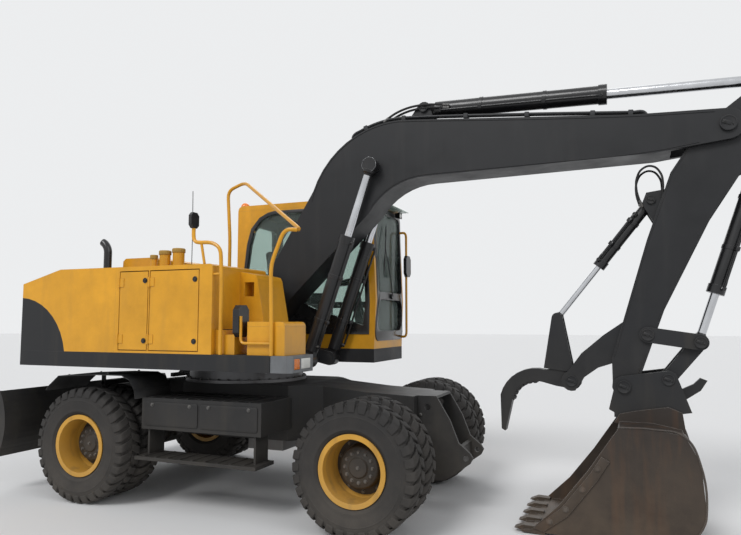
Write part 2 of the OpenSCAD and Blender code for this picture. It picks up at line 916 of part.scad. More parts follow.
// A bent tube along a path of points
module tube(path, r, sides = 8) {
    last = len(path) - 1;
    rings = [for (i = [0 : last])
        let (
            d = unit(path[min(i + 1, last)] - path[max(i - 1, 0)]),
            u = unit(cross(d, abs(d[1]) > 0.8 ? [0, 0, 1] : [0, 1, 0])),
            w = cross(d, u)
        )
        for (k = [0 : sides - 1])
            path[i] + r * (cos(360 * k / sides) * u + sin(360 * k / sides) * w)];
    faces = concat(
        [[for (k = [0 : sides - 1]) k]],
        [for (i = [0 : last - 1], k = [0 : sides - 1])
            let (a = i * sides + k, b = i * sides + (k + 1) % sides)
            [a, a + sides, b + sides, b]],
        [[for (k = [sides - 1 : -1 : 0]) last * sides + k]]);
    polyhedron(rings, faces);
}

module handrails() {
    y = -upper_half + 20;
    rail = 17;
    arm = 12;
    cab_y = cab_left - 30;
    color(yellow) {
        // Handrail beside the steps; its rear end carries a small mirror
        tube(bent([
            [505, y, platform_top], [505, y, 2030], [490, y, 2300], [400, y, 2358], [230, y, 2362],
            [203, y, 2400], [203, y, 2490]
        ], 60), rail);
        tube([[290, y, 2345 - fit], [325, y, hood_top + 2.5]], arm);
        tube([[housing_front, y, 2080], [488 - fit, y, 2080]], arm);
        // Guard bar from the tool box over to the hood behind the cab
        tube(bent([
            [1003, y, platform_top], [1003, y, 1600], [990, y, 2140], [1115, y, 2440], [1250, -1160, 2420],
            [230, -450, 3052], [-4, -400, 2993], [30, -400, 2500], [30, -400, hood_top]
        ], 80), rail);
        // Arm of the right mirror
        tube(bent([[990, y, 1490], [708, y, 1490], [708, y, 1717]], 40), arm);
        // Handrail on the cab's left front corner
        tube(bent([
            [cab_face(1500) + 1, cab_y, 1500], [cab_front + 70, cab_y, 1500],
            [cab_front + 70, cab_y, 2700], [cab_face(2700) + 1.5, cab_y, 2700]
        ], 60), 14);
    }
}

// A mirror's head with cut corners, at the middle of its rear face's lower edge
module mirror_head(p, width, height, thick) {
    c = width / 4;
    w = width / 2;
    translate(p)
        front(0, thick)
            polygon([
                [-w + c, 0], [w - c, 0], [w, c], [w, height - c], [w - c, height], [-w + c, height],
                [-w, height - c], [-w, c]
            ]);
}

module mirrors() {
    color(black) {
        mirror_head([708 - 12 - 60, -upper_half + 82, 1540], 156, 270, 60);
        mirror_head([188, -upper_half + 20, 2490], 110, 140, 30);
        mirror_head([cab_front + 84, cab_left - 85, 2180], 160, 240, 35);
    }
}

// Cab

cab_rear = -385;
cab_front = 1290;
cab_eave = cab_top - 60;
cab_floor = platform_top + 60;
cab_door_x = [30, 1000];
cab_door_z = [cab_floor + 40, cab_eave - 60];

// Outer face of the cab's front at a height
function cab_face(z) = z < 1900
    ? cab_front + 20 * (z - platform_top) / (1900 - platform_top)
    : cab_front + 20 - 40 * (z - 1900) / (cab_eave - 60 - 1900);

// Cab's outline from the side, drawn in by a distance
module cab_profile(d) {
    polygon([
        [cab_rear + d, platform_top + fit], [cab_front - d, platform_top + fit], [cab_front + 20 - d, 1900],
        [cab_front - 20 - d, cab_eave - 60], [cab_front - 60 - d, cab_eave], [cab_rear + d, cab_eave]
    ]);
}

// The cab's window openings, seen from the front or from the side
windscreen = [
    [cab_right + cab_wall, 1960], [cab_left - cab_wall, 1960], [cab_left - cab_wall, cab_eave - 70],
    [cab_right + cab_wall, cab_eave - 70]
];
lower_screen = [
    [cab_right + cab_wall, 1560], [cab_left - cab_wall, 1560], [cab_left - cab_wall, 1920],
    [cab_right + cab_wall, 1920]
];
rear_window = [
    [cab_right + 90, 2240], [cab_left - 90, 2240], [cab_left - 90, 2800], [cab_right + 90, 2800]
];
right_window = concat(
    [[-270, 2200], [-225, 2530]],
    arc([90, 2600], 275, 165, 90, 5),
    [[cab_front - 120, 2875], [cab_front - 90, 1900], [cab_front - 110, 1620], [600, 1800]]);
left_window = [
    [cab_rear + 90, 2200], [cab_door_x[0] - 70, 2200], [cab_door_x[0] - 70, 2820], [cab_rear + 170, 2820],
    [cab_rear + 90, 2700]
];
door_pane = [
    [cab_door_x[0] + 68, 1900], [cab_door_x[1] - 68, 1900], [cab_door_x[1] - 68, cab_door_z[1] - 68],
    [cab_door_x[0] + 68, cab_door_z[1] - 68]
];
door_low_pane = [
    [cab_door_x[0] + 68, 1590], [cab_door_x[1] - 68, 1590], [cab_door_x[1] - 68, 1840],
    [cab_door_x[0] + 68, 1840]
];

// A window's outline drawn towards its middle, so that the pane is free in its opening
function pane(p) =
    let (
        x = [for (q = p) q[0]],
        z = [for (q = p) q[1]],
        m = [max(x) + min(x), max(z) + min(z)] / 2
    )
    [for (q = p) m + (q - m) * (1 - fit / 300)];

module cab_frame() {
    w = cab_wall;
    color(yellow)
        difference() {
            side(cab_right, cab_left)
                cab_profile(0);
            side(cab_right + w, cab_left - w)
                polygon([
                    [cab_rear + w, cab_floor], [cab_front - w, cab_floor], [cab_front + 20 - w, 1900],
                    [cab_front - 20 - w, cab_eave - 60], [cab_front - 60 - w, cab_eave + 1],
                    [cab_rear + w, cab_eave + 1]
                ]);
            front(cab_front - 150, cab_front + 100) {
                polygon(windscreen);
                polygon(lower_screen);
            }
            front(cab_rear - 50, cab_rear + 100)
                polygon(rear_window);
            side(cab_right - 1, cab_right + w + 1)
                polygon(right_window);
            side(cab_left - w - 1, cab_left + 1) {
                polygon(left_window);
                translate([cab_door_x[0], cab_door_z[0]])
                    square([cab_door_x[1] - cab_door_x[0], cab_door_z[1] - cab_door_z[0]]);
            }
        }
}

module cab_roof() {
    color(yellow)
        side(cab_right, cab_left)
            polygon(concat(
                [[cab_rear, cab_eave + fit], [cab_front - 60, cab_eave + fit]],
                arc([cab_front - 115, cab_eave + 5], 55, 5, 90, 4),
                arc([cab_rear + 56, cab_eave + 5], 55, 90, 175, 4)));
    color(black)
        block([cab_front - 66, cab_right + 60, cab_eave + 2], [cab_front + 70, cab_left - 60, cab_eave + 18]);
}

module cab_glass() {
    x = cab_front - 30;
    color("#5f6f68") {
        front(x, x + glass_t) {
            polygon(pane(windscreen));
            polygon(pane(lower_screen));
        }
        front(cab_rear + 18, cab_rear + 18 + glass_t)
            polygon(pane(rear_window));
        side(cab_right + 18, cab_right + 18 + glass_t)
            polygon(pane(right_window));
        side(cab_left - 24, cab_left - 24 + glass_t)
            polygon(pane(left_window));
    }
}

module cab_door() {
    x = [cab_door_x[0] + door_gap, cab_door_x[1] - door_gap];
    z = [cab_door_z[0] + door_gap, cab_door_z[1] - door_gap];
    color(yellow)
        difference() {
            block([x[0], cab_left - cab_wall, z[0]], [x[1], cab_left, z[1]]);
            side(cab_left - cab_wall - 1, cab_left + 1) {
                polygon(door_pane);
                polygon(door_low_pane);
            }
        }
    color(black)
        knuckles(cab_door_x[0], cab_left, 1, [z[0] + 120, z[1] - 260]);
}

module cab_door_glass() {
    color("#5f6f68")
        side(cab_left - 24, cab_left - 24 + glass_t) {
            polygon(pane(door_pane));
            polygon(pane(door_low_pane));
        }
}

seat_x = 130;
seat_y = (cab_right + cab_left) / 2;

module seat() {
    color("#3a3b3d") {
        block([seat_x - 180, seat_y - 200, cab_floor], [seat_x + 200, seat_y + 200, cab_floor + 300]);
        block([seat_x - 230, seat_y - 240, cab_floor + 300], [seat_x + 260, seat_y + 240, cab_floor + 430]);
        side(seat_y - 230, seat_y + 230)
            polygon([
                [seat_x - 230, cab_floor + 430], [seat_x - 90, cab_floor + 430],
                [seat_x - 180, cab_floor + 1060], [seat_x - 270, cab_floor + 1060]
            ]);
    }
}

// Side consoles with levers, and the steering column with its wheel
module console() {
    color("#2b2c2e") {
        for (y = [seat_y - 330, seat_y + 250])
            block([seat_x - 100, y, cab_floor], [seat_x + 330, y + 80, cab_floor + 560]);
        for (y = [seat_y - 290, seat_y + 290])
            translate([seat_x + 280, y, cab_floor + 560])
                cylinder(r = 14, h = 150, $fn = fn_small);
        side(seat_y - 45, seat_y + 45)
            polygon([[960, cab_floor], [1060, cab_floor], [900, cab_floor + 668], [820, cab_floor + 650]]);
        translate([860, seat_y, cab_floor + 660])
            rotate([0, -12, 0])
                difference() {
                    cylinder(r = 190, h = 26, $fn = fn_mid);
                    translate([0, 0, -1])
                        difference() {
                            cylinder(r = 160, h = 28, $fn = fn_mid);
                            cylinder(r = 50, h = 28, $fn = fn_mid);
                            block([-170, -20, 0], [170, 20, 28]);
                        }
                }
    }
}

// Boom

module boom_outline() {
    polygon(concat(
        arc(foot, 125, 145, 300, 8),
        arc([2020, 2350], 670, 148, 90, 8),
        [[3970, 3045]],
        arc(boom_tip, 125, -80, 80, 8),
        [[3820, 3385]],
        arc([1740, 2640], 945, 88, 160, 10)));
}

module boom() {
    fork = 445;
    lug = arm_half + fit;
    color(charcoal)
        difference() {
            union() {
                side(-boom_half, boom_half)
                    boom_outline();
                both()
                    pin(boom_cyl_pin, 75, boom_half - 10, 205);
                both()
                    side(62, 88)
                        polygon(concat(
                            [[arm_cyl_base[0] + 110, 3530]],
                            arc(arm_cyl_base, 65, 0, 150, 6),
                            [[arm_cyl_base[0] - 180, 3560]]));
                pin(foot, 90, -boom_half - 5 + fit, boom_half + 5 - fit);
                pin(foot, 45, -boom_half - 52, boom_half + 52);
            }
            // Fork at the tip that takes the arm
            side(-lug, lug)
                translate(boom_tip)
                    circle(r = fork, $fn = fn_big);
        }
    color(steel) {
        pin(boom_tip, 40, -boom_half - 12, boom_half + 12);
        pin(arm_cyl_base, arm_cyl[5], -100, 100);
    }
}

module boom_barrels() {
    for (s = [-1, 1])
        barrel_of(boom_cyl_base, boom_cyl_pin, boom_cyl_y * s, boom_cyl);
}

module boom_rods() {
    for (s = [-1, 1])
        rod_of(boom_cyl_base, boom_cyl_pin, boom_cyl_y * s, boom_cyl);
}

module arm_barrel() {
    barrel_of(arm_cyl_base, arm_lever, 0, arm_cyl);
}

module arm_rod() {
    rod_of(arm_cyl_base, arm_lever, 0, arm_cyl);
}

// Arm: side plates at the lever, a closed box below the boom's pin
module arm_lever_outline() {
    polygon([
        arm_point(-540, 340), arm_point(-430, 350), arm_point(0, 300), arm_point(200, 240),
        arm_point(200, -240), arm_point(60, -180), arm_point(-120, -60), arm_point(-400, 108),
        arm_point(-575, 195), arm_point(-590, 290)
    ]);
}

module arm_box_outline() {
    polygon(concat(
        [arm_point(-60, 200), arm_point(330, 220), arm_point(767, 135), arm_point(1550, 70)],
        [for (a = [90 : -30 : -90]) bucket_pin + 92 * along(arm_angle + a)],
        [arm_point(arm_length - 170, -160), arm_point(1060, -245), arm_point(480, -265),
            arm_point(180, -200), arm_point(-100, -80)]));
}

module arm() {
    color(charcoal)
        difference() {
            union() {
                side(-arm_half, arm_half)
                    arm_box_outline();
                both()
                    side(arm_half - 40, arm_half)
                        arm_lever_outline();
                both()
                    side(70, 94)
                        polygon([
                            arm_point(-40, 190), arm_point(20, 365), arm_point(150, 375), arm_point(330, 210)
                        ]);
                both()
                    side(52, 76)
                        polygon([
                            arm_point(600, -240), arm_point(680, -385), arm_point(780, -385),
                            arm_point(900, -240)
                        ]);
                thumb_bracket();
            }
            pin(thumb_pin, 32 + fit, -200, 200);
            pin(boom_tip, 40 + fit, -200, 200);
            pin(bucket_pin, 38 + fit, -200, 200);
            pin(idler_pin, 30 + fit, -200, 200);
            both()
                pin(arm_lever, 36, 40, 200);
        }
    color(steel) {
        pin(bucket_cyl_base, bucket_cyl[5], -100, 100);
        pin(thumb_base, thumb_cyl[5], -82, 82);
    }
}

// Curved bracket from the arm's nose to the thumb's pin
module thumb_bracket() {
    both()
        side(arm_half - 54, arm_half - 30)
            polygon(concat(
                [arm_point(arm_length - 560, -140), arm_point(arm_length - 330, -290),
                    arm_point(arm_length - 120, -400)],
                arc(thumb_pin, 84, 110, 290, 8),
                [arm_point(arm_length + 60, -310), arm_point(arm_length - 60, -235),
                    arm_point(arm_length - 150, -130)]));
}

module bucket_barrel() {
    barrel_of(bucket_cyl_base, link_pin, 0, bucket_cyl);
}

module bucket_rod() {
    rod_of(bucket_cyl_base, link_pin, 0, bucket_cyl);
}

// A flat bar with round ends between two pins
module bar(a, b, ra, rb, y0, y1) {
    t = heading(a, b);
    side(y0, y1)
        polygon(concat(arc(a, ra, t + 90, t + 270, 10), arc(b, rb, t - 90, t + 90, 10)));
}

module idler_links() {
    y = arm_half + 5;
    color(charcoal)
        both() {
            difference() {
                bar(idler_pin, link_pin, 62, 62, y, y + 30);
                pin(link_pin, 30.5, y - 10, y + 40);
            }
        }
    color(steel) {
        pin(idler_pin, 30, -y - 20, y + 20);
        both()
            pin(link_pin, 30, 66, y + 40);
    }
}

module push_link() {
    y = arm_half - 30;
    color(charcoal)
        both()
            difference() {
                bar(link_pin, coupler_pin, 58, 55, y - 30, y);
                pin(link_pin, 30.5, 0, 200);
            }
    color(charcoal)
        on_line((link_pin + coupler_pin) / 2, coupler_pin)
            block([-20, -y, -22], [60, y, 22]);
}

// An outline given from the bucket's pin
function hung(p) = [for (q = p) bucket_pin + q];

// Quick coupler that hangs on the arm's nose
module coupler() {
    y = arm_half + 8;
    color(charcoal)
        both()
            difference() {
                side(y, y + 36)
                    polygon(concat(
                        arc(bucket_pin, 85, 200, 100, 6),
                        arc(coupler_pin, 70, 110, 10, 6),
                        hung([[490, -185], [20, -265], [-120, -185]])));
                pin(bucket_pin, 38.5, 100, 300);
            }
    color(charcoal) {
        side(-y - 36, y + 36) {
            polygon(hung([[-80, -245], [20, -245], [20, -185], [-80, -185]]));
            polygon(hung([[400, -155], [460, -155], [460, -105], [400, -105]]));
        }
        side(-18, 18)
            polygon(hung([[440, -115], [570, -25], [620, 55], [570, 75], [520, 25], [420, -25]]));
    }
    color(steel)
        pin(bucket_pin, 38, -y - 50, y + 50);
}

// Bucket

// Places along the bucket, from its pin
lip = [-730, -1125];

function bucket_line(d) = hung(concat(
    [lip + [0, d]],
    arc([240, -833], 300 - d, -90, -10, 6),
    [[510 - d, -505], [410 - d, -315 - d], [200, -275 - d], [-40, -275 - d]]));

module bucket_outline() {
    polygon(concat(bucket_line(0), hung([[-60, -305], [-280, -625], [-500, -905]])));
}

module bucket() {
    half = bucket_width / 2;
    ear = arm_half + 44;
    color("#3b3a38") {
        difference() {
            side(-half, half)
                bucket_outline();
            side(-half + bucket_t, half - bucket_t)
                polygon(concat(bucket_line(bucket_t), hung([[-780, -245]])));
        }
        side(-half, half)
            polygon(hung([for (q = [[-60, -8], [120, -18], [120, 18], [-60, 10]]) lip + q]));
        both()
            side(ear, ear + 30)
                polygon(hung([[-80, -285], [-40, -215], [80, -185], [320, -145], [420, -185], [440, -345]]));
        for (i = [0 : tooth_count - 1])
            translate([0, -half + 60 + i * (bucket_width - 120) / (tooth_count - 1), 0])
                side(-38, 38)
                    polygon(hung([for (q = [[-120, 10], [40, -20], [60, 36], [-50, 40]]) lip + q]));
    }
}

// Thumb: a claw on its pin, with a lever for the cylinder

claw_tip = bucket_pin + 1095 * along(202);
claw_mid = thumb_pin + [-300, -225];

module thumb() {
    half = claw_width / 2;
    color(charcoal)
        difference() {
            union() {
                side(-half, half)
                    polygon(concat(
                        arc(thumb_pin, 78, -70, 60, 6),
                        [thumb_pin + [-150, 96]],
                        arc(claw_mid, 320, 75, 165, 8),
                        [claw_tip, claw_tip + [32, -18]],
                        arc(claw_mid, 212, 172, 75, 8),
                        [thumb_pin + [-130, -50]]));
                both()
                    side(half - 3, half + 14)
                        polygon(concat(
                            [thumb_pin + [-230, 100]],
                            arc(thumb_lever, 46, 170, 20, 6),
                            [thumb_pin + [20, 70]]));
            }
            pin(thumb_pin, 32, -200, 200);
        }
    color(steel)
        pin(thumb_pin, 32, -arm_half + 30, arm_half - 30);
}

module thumb_barrel() {
    barrel_of(thumb_base, thumb_lever, 0, thumb_cyl);
}

module thumb_rod() {
    rod_of(thumb_base, thumb_lever, 0, thumb_cyl);
}

machine() chassis();
machine() front_bracket();
machine() slew_ring();
machine() front_axle();
machine() rear_axle();
machine() driveline();
machine() side_steps();
machine() knuckle(1);  // knuckle_left
machine() knuckle(-1);  // knuckle_right
machine() tyres(front_axle_x, 1);  // tyres_front_left
machine() tyres(front_axle_x, -1);  // tyres_front_right
machine() tyres(rear_axle_x, 1);  // tyres_rear_left
machine() tyres(rear_axle_x, -1);  // tyres_rear_right
machine() rims(front_axle_x, 1);  // rims_front_left
machine() rims(front_axle_x, -1);  // rims_front_right
machine() rims(rear_axle_x, 1);  // rims_rear_left
machine() rims(rear_axle_x, -1);  // rims_rear_right
machine() blade();
machine() blade_barrels();
machine() blade_rods();
machine() platform();
machine() counterweight();
machine() hood();
machine() engine();
machine() tank_housing();
machine() tool_box();
machine() front_lamps();
machine() exhaust();
machine() handrails();
machine() mirrors();
machine() hood_lid();
machine() engine_door();
machine() pump_door();
machine() cooler_door();
machine() tool_box_lid();
machine() cab_frame();
machine() cab_roof();
machine() cab_glass();
machine() cab_door();
machine() cab_door_glass();
machine() seat();
machine() console();
machine() boom();
machine() boom_barrels();
machine() boom_rods();
machine() arm_barrel();
machine() arm_rod();
machine() arm();
machine() bucket_barrel();
machine() bucket_rod();
machine() idler_links();
machine() push_link();
machine() coupler();
machine() bucket();
machine() thumb();
machine() thumb_barrel();
machine() thumb_rod();
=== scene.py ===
import math
import bpy
from mathutils import Matrix, Vector


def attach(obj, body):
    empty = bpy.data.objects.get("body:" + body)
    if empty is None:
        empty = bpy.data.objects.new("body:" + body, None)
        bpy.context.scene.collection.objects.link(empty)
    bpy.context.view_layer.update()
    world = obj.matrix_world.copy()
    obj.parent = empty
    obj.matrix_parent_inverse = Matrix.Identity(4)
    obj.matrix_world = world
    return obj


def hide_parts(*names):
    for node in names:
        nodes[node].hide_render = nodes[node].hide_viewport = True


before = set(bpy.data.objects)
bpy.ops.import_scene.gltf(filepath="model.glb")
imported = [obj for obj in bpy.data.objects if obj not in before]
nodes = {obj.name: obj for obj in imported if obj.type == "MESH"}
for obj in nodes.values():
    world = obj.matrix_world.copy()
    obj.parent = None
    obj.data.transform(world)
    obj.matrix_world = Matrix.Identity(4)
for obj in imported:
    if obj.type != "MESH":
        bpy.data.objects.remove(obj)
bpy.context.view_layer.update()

# The source measures along X from the slewing axis, and the frame from the middle of the machine
swing_x = -1.41497


# Camera: a hand-held camera 6 m from the right side, level with the side panels and tipped up a little.
# The wide lens and the turn towards the tail give the photograph's long boom at the right edge.
camera_data = bpy.data.cameras.new("camera")
camera_data.sensor_width = 36.0
camera_data.lens = 31.09
camera = bpy.data.objects.new("camera", camera_data)
bpy.context.scene.collection.objects.link(camera)
camera.location = (3.742 + swing_x, -5.806, 1.669)
camera.rotation_euler = (math.radians(94.85), 0.0, math.radians(22.0))
bpy.context.scene.camera = camera
bpy.context.scene.view_settings.view_transform = "Standard"


# Studio: a pale matt floor under a pale backdrop, with one wide lamp over the camera's shoulder,
# weaker ones from the front and from behind, and an even ambient light.
def mode(name):
    bpy.ops.object.mode_set(mode=name)


def nothing_selected():
    if bpy.context.object and bpy.context.object.mode != "OBJECT":
        mode("OBJECT")
    bpy.ops.object.select_all(action="DESELECT")


def new_material(name, values):
    """A material, its node tree and its shader, with these values on the shader's sockets."""
    material = bpy.data.materials.new(name)
    material.use_nodes = True
    shader = material.node_tree.nodes["Principled BSDF"]
    for socket, value in values.items():
        shader.inputs[socket].default_value = value
    return material, material.node_tree, shader


def add_node(tree, kind, values=None, wires=None):
    """A node with values on its sockets and wires from other nodes' outputs."""
    node = tree.nodes.new("ShaderNode" + kind)
    for socket, value in (values or {}).items():
        node.inputs[socket].default_value = value
    for socket, source in (wires or {}).items():
        tree.links.new(source, node.inputs[socket])
    return node


def maths(tree, operation, first, second, clamp=False):
    node = add_node(tree, "Math", wires={0: first, 1: second})
    node.operation = operation
    node.use_clamp = clamp
    return node.outputs[0]


nothing_selected()
bpy.ops.mesh.primitive_plane_add(size=160.0, location=(0.0, 0.0, 0.0))
floor = bpy.context.object
mode("EDIT")
bpy.ops.mesh.subdivide(number_cuts=3)
mode("OBJECT")
floor.name = "studio_floor"
floor_paint = new_material("studio_floor", {"Base Color": (0.72, 0.72, 0.72, 1.0), "Roughness": 0.9})[0]
floor.data.materials.append(floor_paint)

# The camera, mirrors and panes see the backdrop, and everything else is lit by the ambient light
world = bpy.data.worlds.new("studio_world")
bpy.context.scene.world = world
world.use_nodes = True
sky = world.node_tree
sky.nodes.clear()
rays = add_node(sky, "LightPath").outputs
seen = maths(sky, "MAXIMUM", rays["Is Camera Ray"], rays["Is Glossy Ray"])
seen = maths(sky, "MAXIMUM", seen, rays["Is Transmission Ray"])
backdrop = add_node(sky, "Background", {"Color": (0.84, 0.85, 0.86, 1.0)})
ambient = add_node(sky, "Background", {"Color": (0.95, 0.97, 1.0, 1.0), "Strength": 0.52})
choice = add_node(sky, "MixShader", wires={"Fac": seen, 1: ambient.outputs[0], 2: backdrop.outputs[0]})
add_node(sky, "OutputWorld", wires={"Surface": choice.outputs[0]})

# Lamps far off and wide, so that the floor is lit evenly, as [name, where it shines from, strength, spread]
for lamp_name, place, strength, spread in [
    ("key_lamp", (-2.5, -9.0, 8.5), 1.55, 24.0),
    ("front_lamp", (9.0, -4.0, 5.0), 0.60, 40.0),
    ("back_lamp", (-3.0, 9.0, 7.0), 0.45, 40.0),
]:
    lamp_data = bpy.data.lights.new(lamp_name, "SUN")
    lamp_data.angle = math.radians(spread)
    lamp_data.energy = strength
    lamp = bpy.data.objects.new(lamp_name, lamp_data)
    bpy.context.scene.collection.objects.link(lamp)
    lamp.location = place
    lamp.rotation_euler = (-Vector(place)).to_track_quat("-Z", "Y").to_euler()


# Finishes: every surface is its own colour broken by slow stains and fine grain, paler where the paint
# has worn at the edges, and dusty towards the ground.
def mapped(tree, source, from_min, from_max, to_min, to_max):
    values = {"From Min": from_min, "From Max": from_max, "To Min": to_min, "To Max": to_max}
    return add_node(tree, "MapRange", values, {"Value": source}).outputs["Result"]


def mixed(tree, share, under, colour):
    """A share of one colour over what lies under it."""
    wires = {"Fac": share, "Color1": under}
    return add_node(tree, "MixRGB", {"Color2": (*colour, 1.0)}, wires).outputs["Color"]


def ramp(tree, source, *stops):
    """A colour that follows a value between two stops of (place, colour)."""
    node = add_node(tree, "ValToRGB", wires={"Fac": source})
    for element, (place, colour) in zip(node.color_ramp.elements, stops):
        element.position = place
        element.color = (*colour, 1.0)
    return node.outputs["Color"]


def finish_of(name, colour, roughness, metal=0.0, stain=(0.06, 0.055, 0.05), stain_share=0.35,
              dust=(0.30, 0.27, 0.23), dust_top=0.2, dust_share=0.1, worn=None, worn_share=0.0,
              grain=90.0, bump=0.12, edge=0.004, gloss=0.0):
    """A finish; dust_top is the height that dust reaches, and edge the width of the worn edges."""
    material, tree, shader = new_material(name, {"Metallic": metal, "Coat Weight": gloss, "Coat Roughness": 0.12,
                                                 "Specular IOR Level": 0.35})
    place = add_node(tree, "TexCoord").outputs["Object"]
    slow = add_node(tree, "TexNoise", {"Scale": 2.3, "Detail": 8.0, "Roughness": 0.68},
                    {"Vector": place}).outputs["Fac"]
    fine = add_node(tree, "TexNoise", {"Scale": grain, "Detail": 4.0}, {"Vector": place}).outputs["Fac"]
    # Slow change of the paint's own colour
    last = ramp(tree, slow, (0.32, [c * 0.80 for c in colour]), (0.68, [min(1.0, c * 1.08) for c in colour]))
    # Stains run down: the pattern is drawn out along Z
    drawn_out = add_node(tree, "Mapping", {"Scale": (9.0, 9.0, 1.1)}, {"Vector": place}).outputs["Vector"]
    runs = add_node(tree, "TexNoise", {"Scale": 1.0, "Detail": 5.0}, {"Vector": drawn_out}).outputs["Fac"]
    last = mixed(tree, mapped(tree, runs, 0.52, 0.74, 0.0, stain_share), last, stain)
    # Road dust in clouds, thickest at the ground
    height = add_node(tree, "SeparateXYZ", wires={"Vector": place}).outputs["Z"]
    low = mapped(tree, height, dust_top, 0.05, 0.0, dust_share)
    cloud = mapped(tree, slow, 0.30, 0.72, 0.35, 1.5)
    last = mixed(tree, maths(tree, "MULTIPLY", low, cloud, clamp=True), last, dust)
    # Edges: softened everywhere, and worn where the softened normal leaves the flat one
    soft_edge = add_node(tree, "Bevel", {"Radius": edge})
    soft_edge.samples = 4
    soft_normal = soft_edge.outputs["Normal"]
    if worn is not None:
        flat_normal = add_node(tree, "NewGeometry").outputs["Normal"]
        same = add_node(tree, "VectorMath", wires={0: soft_normal, 1: flat_normal})
        same.operation = "DOT_PRODUCT"
        rub = mapped(tree, same.outputs["Value"], 0.985, 0.86, 0.0, worn_share)
        last = mixed(tree, maths(tree, "MULTIPLY", rub, cloud, clamp=True), last, worn)
    dull = mapped(tree, slow, 0.30, 0.70, max(0.04, roughness - 0.08), min(1.0, roughness + 0.14))
    skin = add_node(tree, "Bump", {"Strength": bump, "Distance": 0.0015}, {"Height": fine, "Normal": soft_normal})
    for socket, source in (("Base Color", last), ("Roughness", dull), ("Normal", skin.outputs["Normal"])):
        tree.links.new(source, shader.inputs[socket])
    return material


def dress(names, material):
    """Gives a material to the plain pieces of these names."""
    for name in names:
        for slot in nodes[name].material_slots:
            slot.link = "OBJECT"
            slot.material = material


# Wheels: moulded lug tyres in pairs on welded steel rims, black rubber greyed by the road and
# yellow-orange rim paint with brake dust.
lug_rubber = finish_of(
    "lug_rubber", (0.014, 0.014, 0.015), 0.78, stain=(0.035, 0.032, 0.029), dust=(0.12, 0.105, 0.088), dust_top=1.3,
    dust_share=0.42, grain=55.0, bump=0.35, edge=0.006, worn=(0.055, 0.052, 0.048), worn_share=0.6)
rim_paint = finish_of(
    "rim_paint", (0.62, 0.32, 0.035), 0.42, stain=(0.10, 0.07, 0.04), stain_share=0.5, dust=(0.22, 0.17, 0.11),
    dust_top=1.1, dust_share=0.35, worn=(0.42, 0.25, 0.08), worn_share=0.5)
wheel_radius = 0.527
tyre_middles = (0.805, 1.105)
rim_face = 0.955
# Wheels as (corner, X of the axle, side)
wheels = [(end + "_" + side_name, x, s) for end, x in (("front", 1.730), ("rear", -1.020))
          for side_name, s in (("left", 1.0), ("right", -1.0))]
for corner, x, s in wheels:
    dress(["tyres_" + corner], lug_rubber)
    dress(["rims_" + corner], rim_paint)


# Tyres: eight moulded carcasses with rim guards and sidewall ribs, each with two rows of chevron lugs that
# run down over the shoulders.
def at(x, y, z):
    return Vector((x + swing_x, y, z))


def only(piece):
    nothing_selected()
    piece.select_set(True)
    bpy.context.view_layer.objects.active = piece


def block(low, high):
    """A plain block between two corners."""
    nothing_selected()
    low, high = Vector(low), Vector(high)
    bpy.ops.mesh.primitive_cube_add(size=1.0, location=(low + high) / 2)
    piece = bpy.context.object
    piece.scale = [abs(size) for size in high - low]
    bpy.ops.object.transform_apply(location=True, rotation=True, scale=True)
    return piece


def made_solid(piece, merge=0.0):
    """Welds points that lie closer than merge and turns all faces outwards."""
    only(piece)
    mode("EDIT")
    bpy.ops.mesh.select_all(action="SELECT")
    if merge > 0.0:
        bpy.ops.mesh.remove_doubles(threshold=merge)
    bpy.ops.mesh.normals_make_consistent(inside=False)
    mode("OBJECT")
    return piece


def smoothed(piece, angle):
    bpy.ops.object.shade_smooth_by_angle(angle=math.radians(angle))
    return piece


def soften(piece, width, steps=2, angle=35.0):
    """Rounds the edges that are sharper than the angle."""
    only(piece)
    round_off = piece.modifiers.new("round_off", "BEVEL")
    round_off.width = width
    round_off.segments = steps
    round_off.limit_method = "ANGLE"
    round_off.angle_limit = math.radians(angle)
    bpy.ops.object.modifier_apply(modifier="round_off")
    return smoothed(piece, 32.0)


def settle(piece, name, body, material):
    """Finishes a piece: its moves applied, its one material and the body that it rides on."""
    only(piece)
    bpy.ops.object.transform_apply(location=True, rotation=True, scale=True)
    piece.name = name
    piece.data.name = name
    piece.data.materials.clear()
    piece.data.materials.append(material)
    for face in piece.data.polygons:
        face.material_index = 0
    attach(piece, body)
    return piece


def joined(parts):
    nothing_selected()
    for part in parts:
        part.select_set(True)
    bpy.context.view_layer.objects.active = parts[0]
    if len(parts) > 1:
        bpy.ops.object.join()
    return bpy.context.object


def copied(model, places, keep=False):
    """Copies a model that stands on the origin, Z up, to each (place, direction, turn), as one object."""
    parts = []
    for place, direction, spin in places:
        part = model.copy()
        part.data = model.data.copy()
        bpy.context.scene.collection.objects.link(part)
        turn = Vector(direction).to_track_quat("Z", "Y").to_matrix().to_4x4() @ Matrix.Rotation(spin, 4, "Z")
        part.data.transform(Matrix.Translation(place) @ turn)
        parts.append(part)
    if not keep:
        bpy.data.objects.remove(model)
    return joined(parts)


def drawing_of(lines, closed, dimensions="3D"):
    """A curve object of straight lines through rows of points."""
    nothing_selected()
    bpy.ops.curve.primitive_bezier_curve_add()
    drawing = bpy.context.object
    drawing.data.dimensions = dimensions
    drawing.data.splines.clear()
    for points in lines:
        line = drawing.data.splines.new("POLY")
        line.points.add(len(points) - 1)
        for point, place in zip(line.points, points):
            point.co = (*place, 1.0)
        line.use_cyclic_u = closed
    return drawing


def as_mesh(drawing):
    only(drawing)
    bpy.ops.object.convert(target="MESH")
    return bpy.context.object


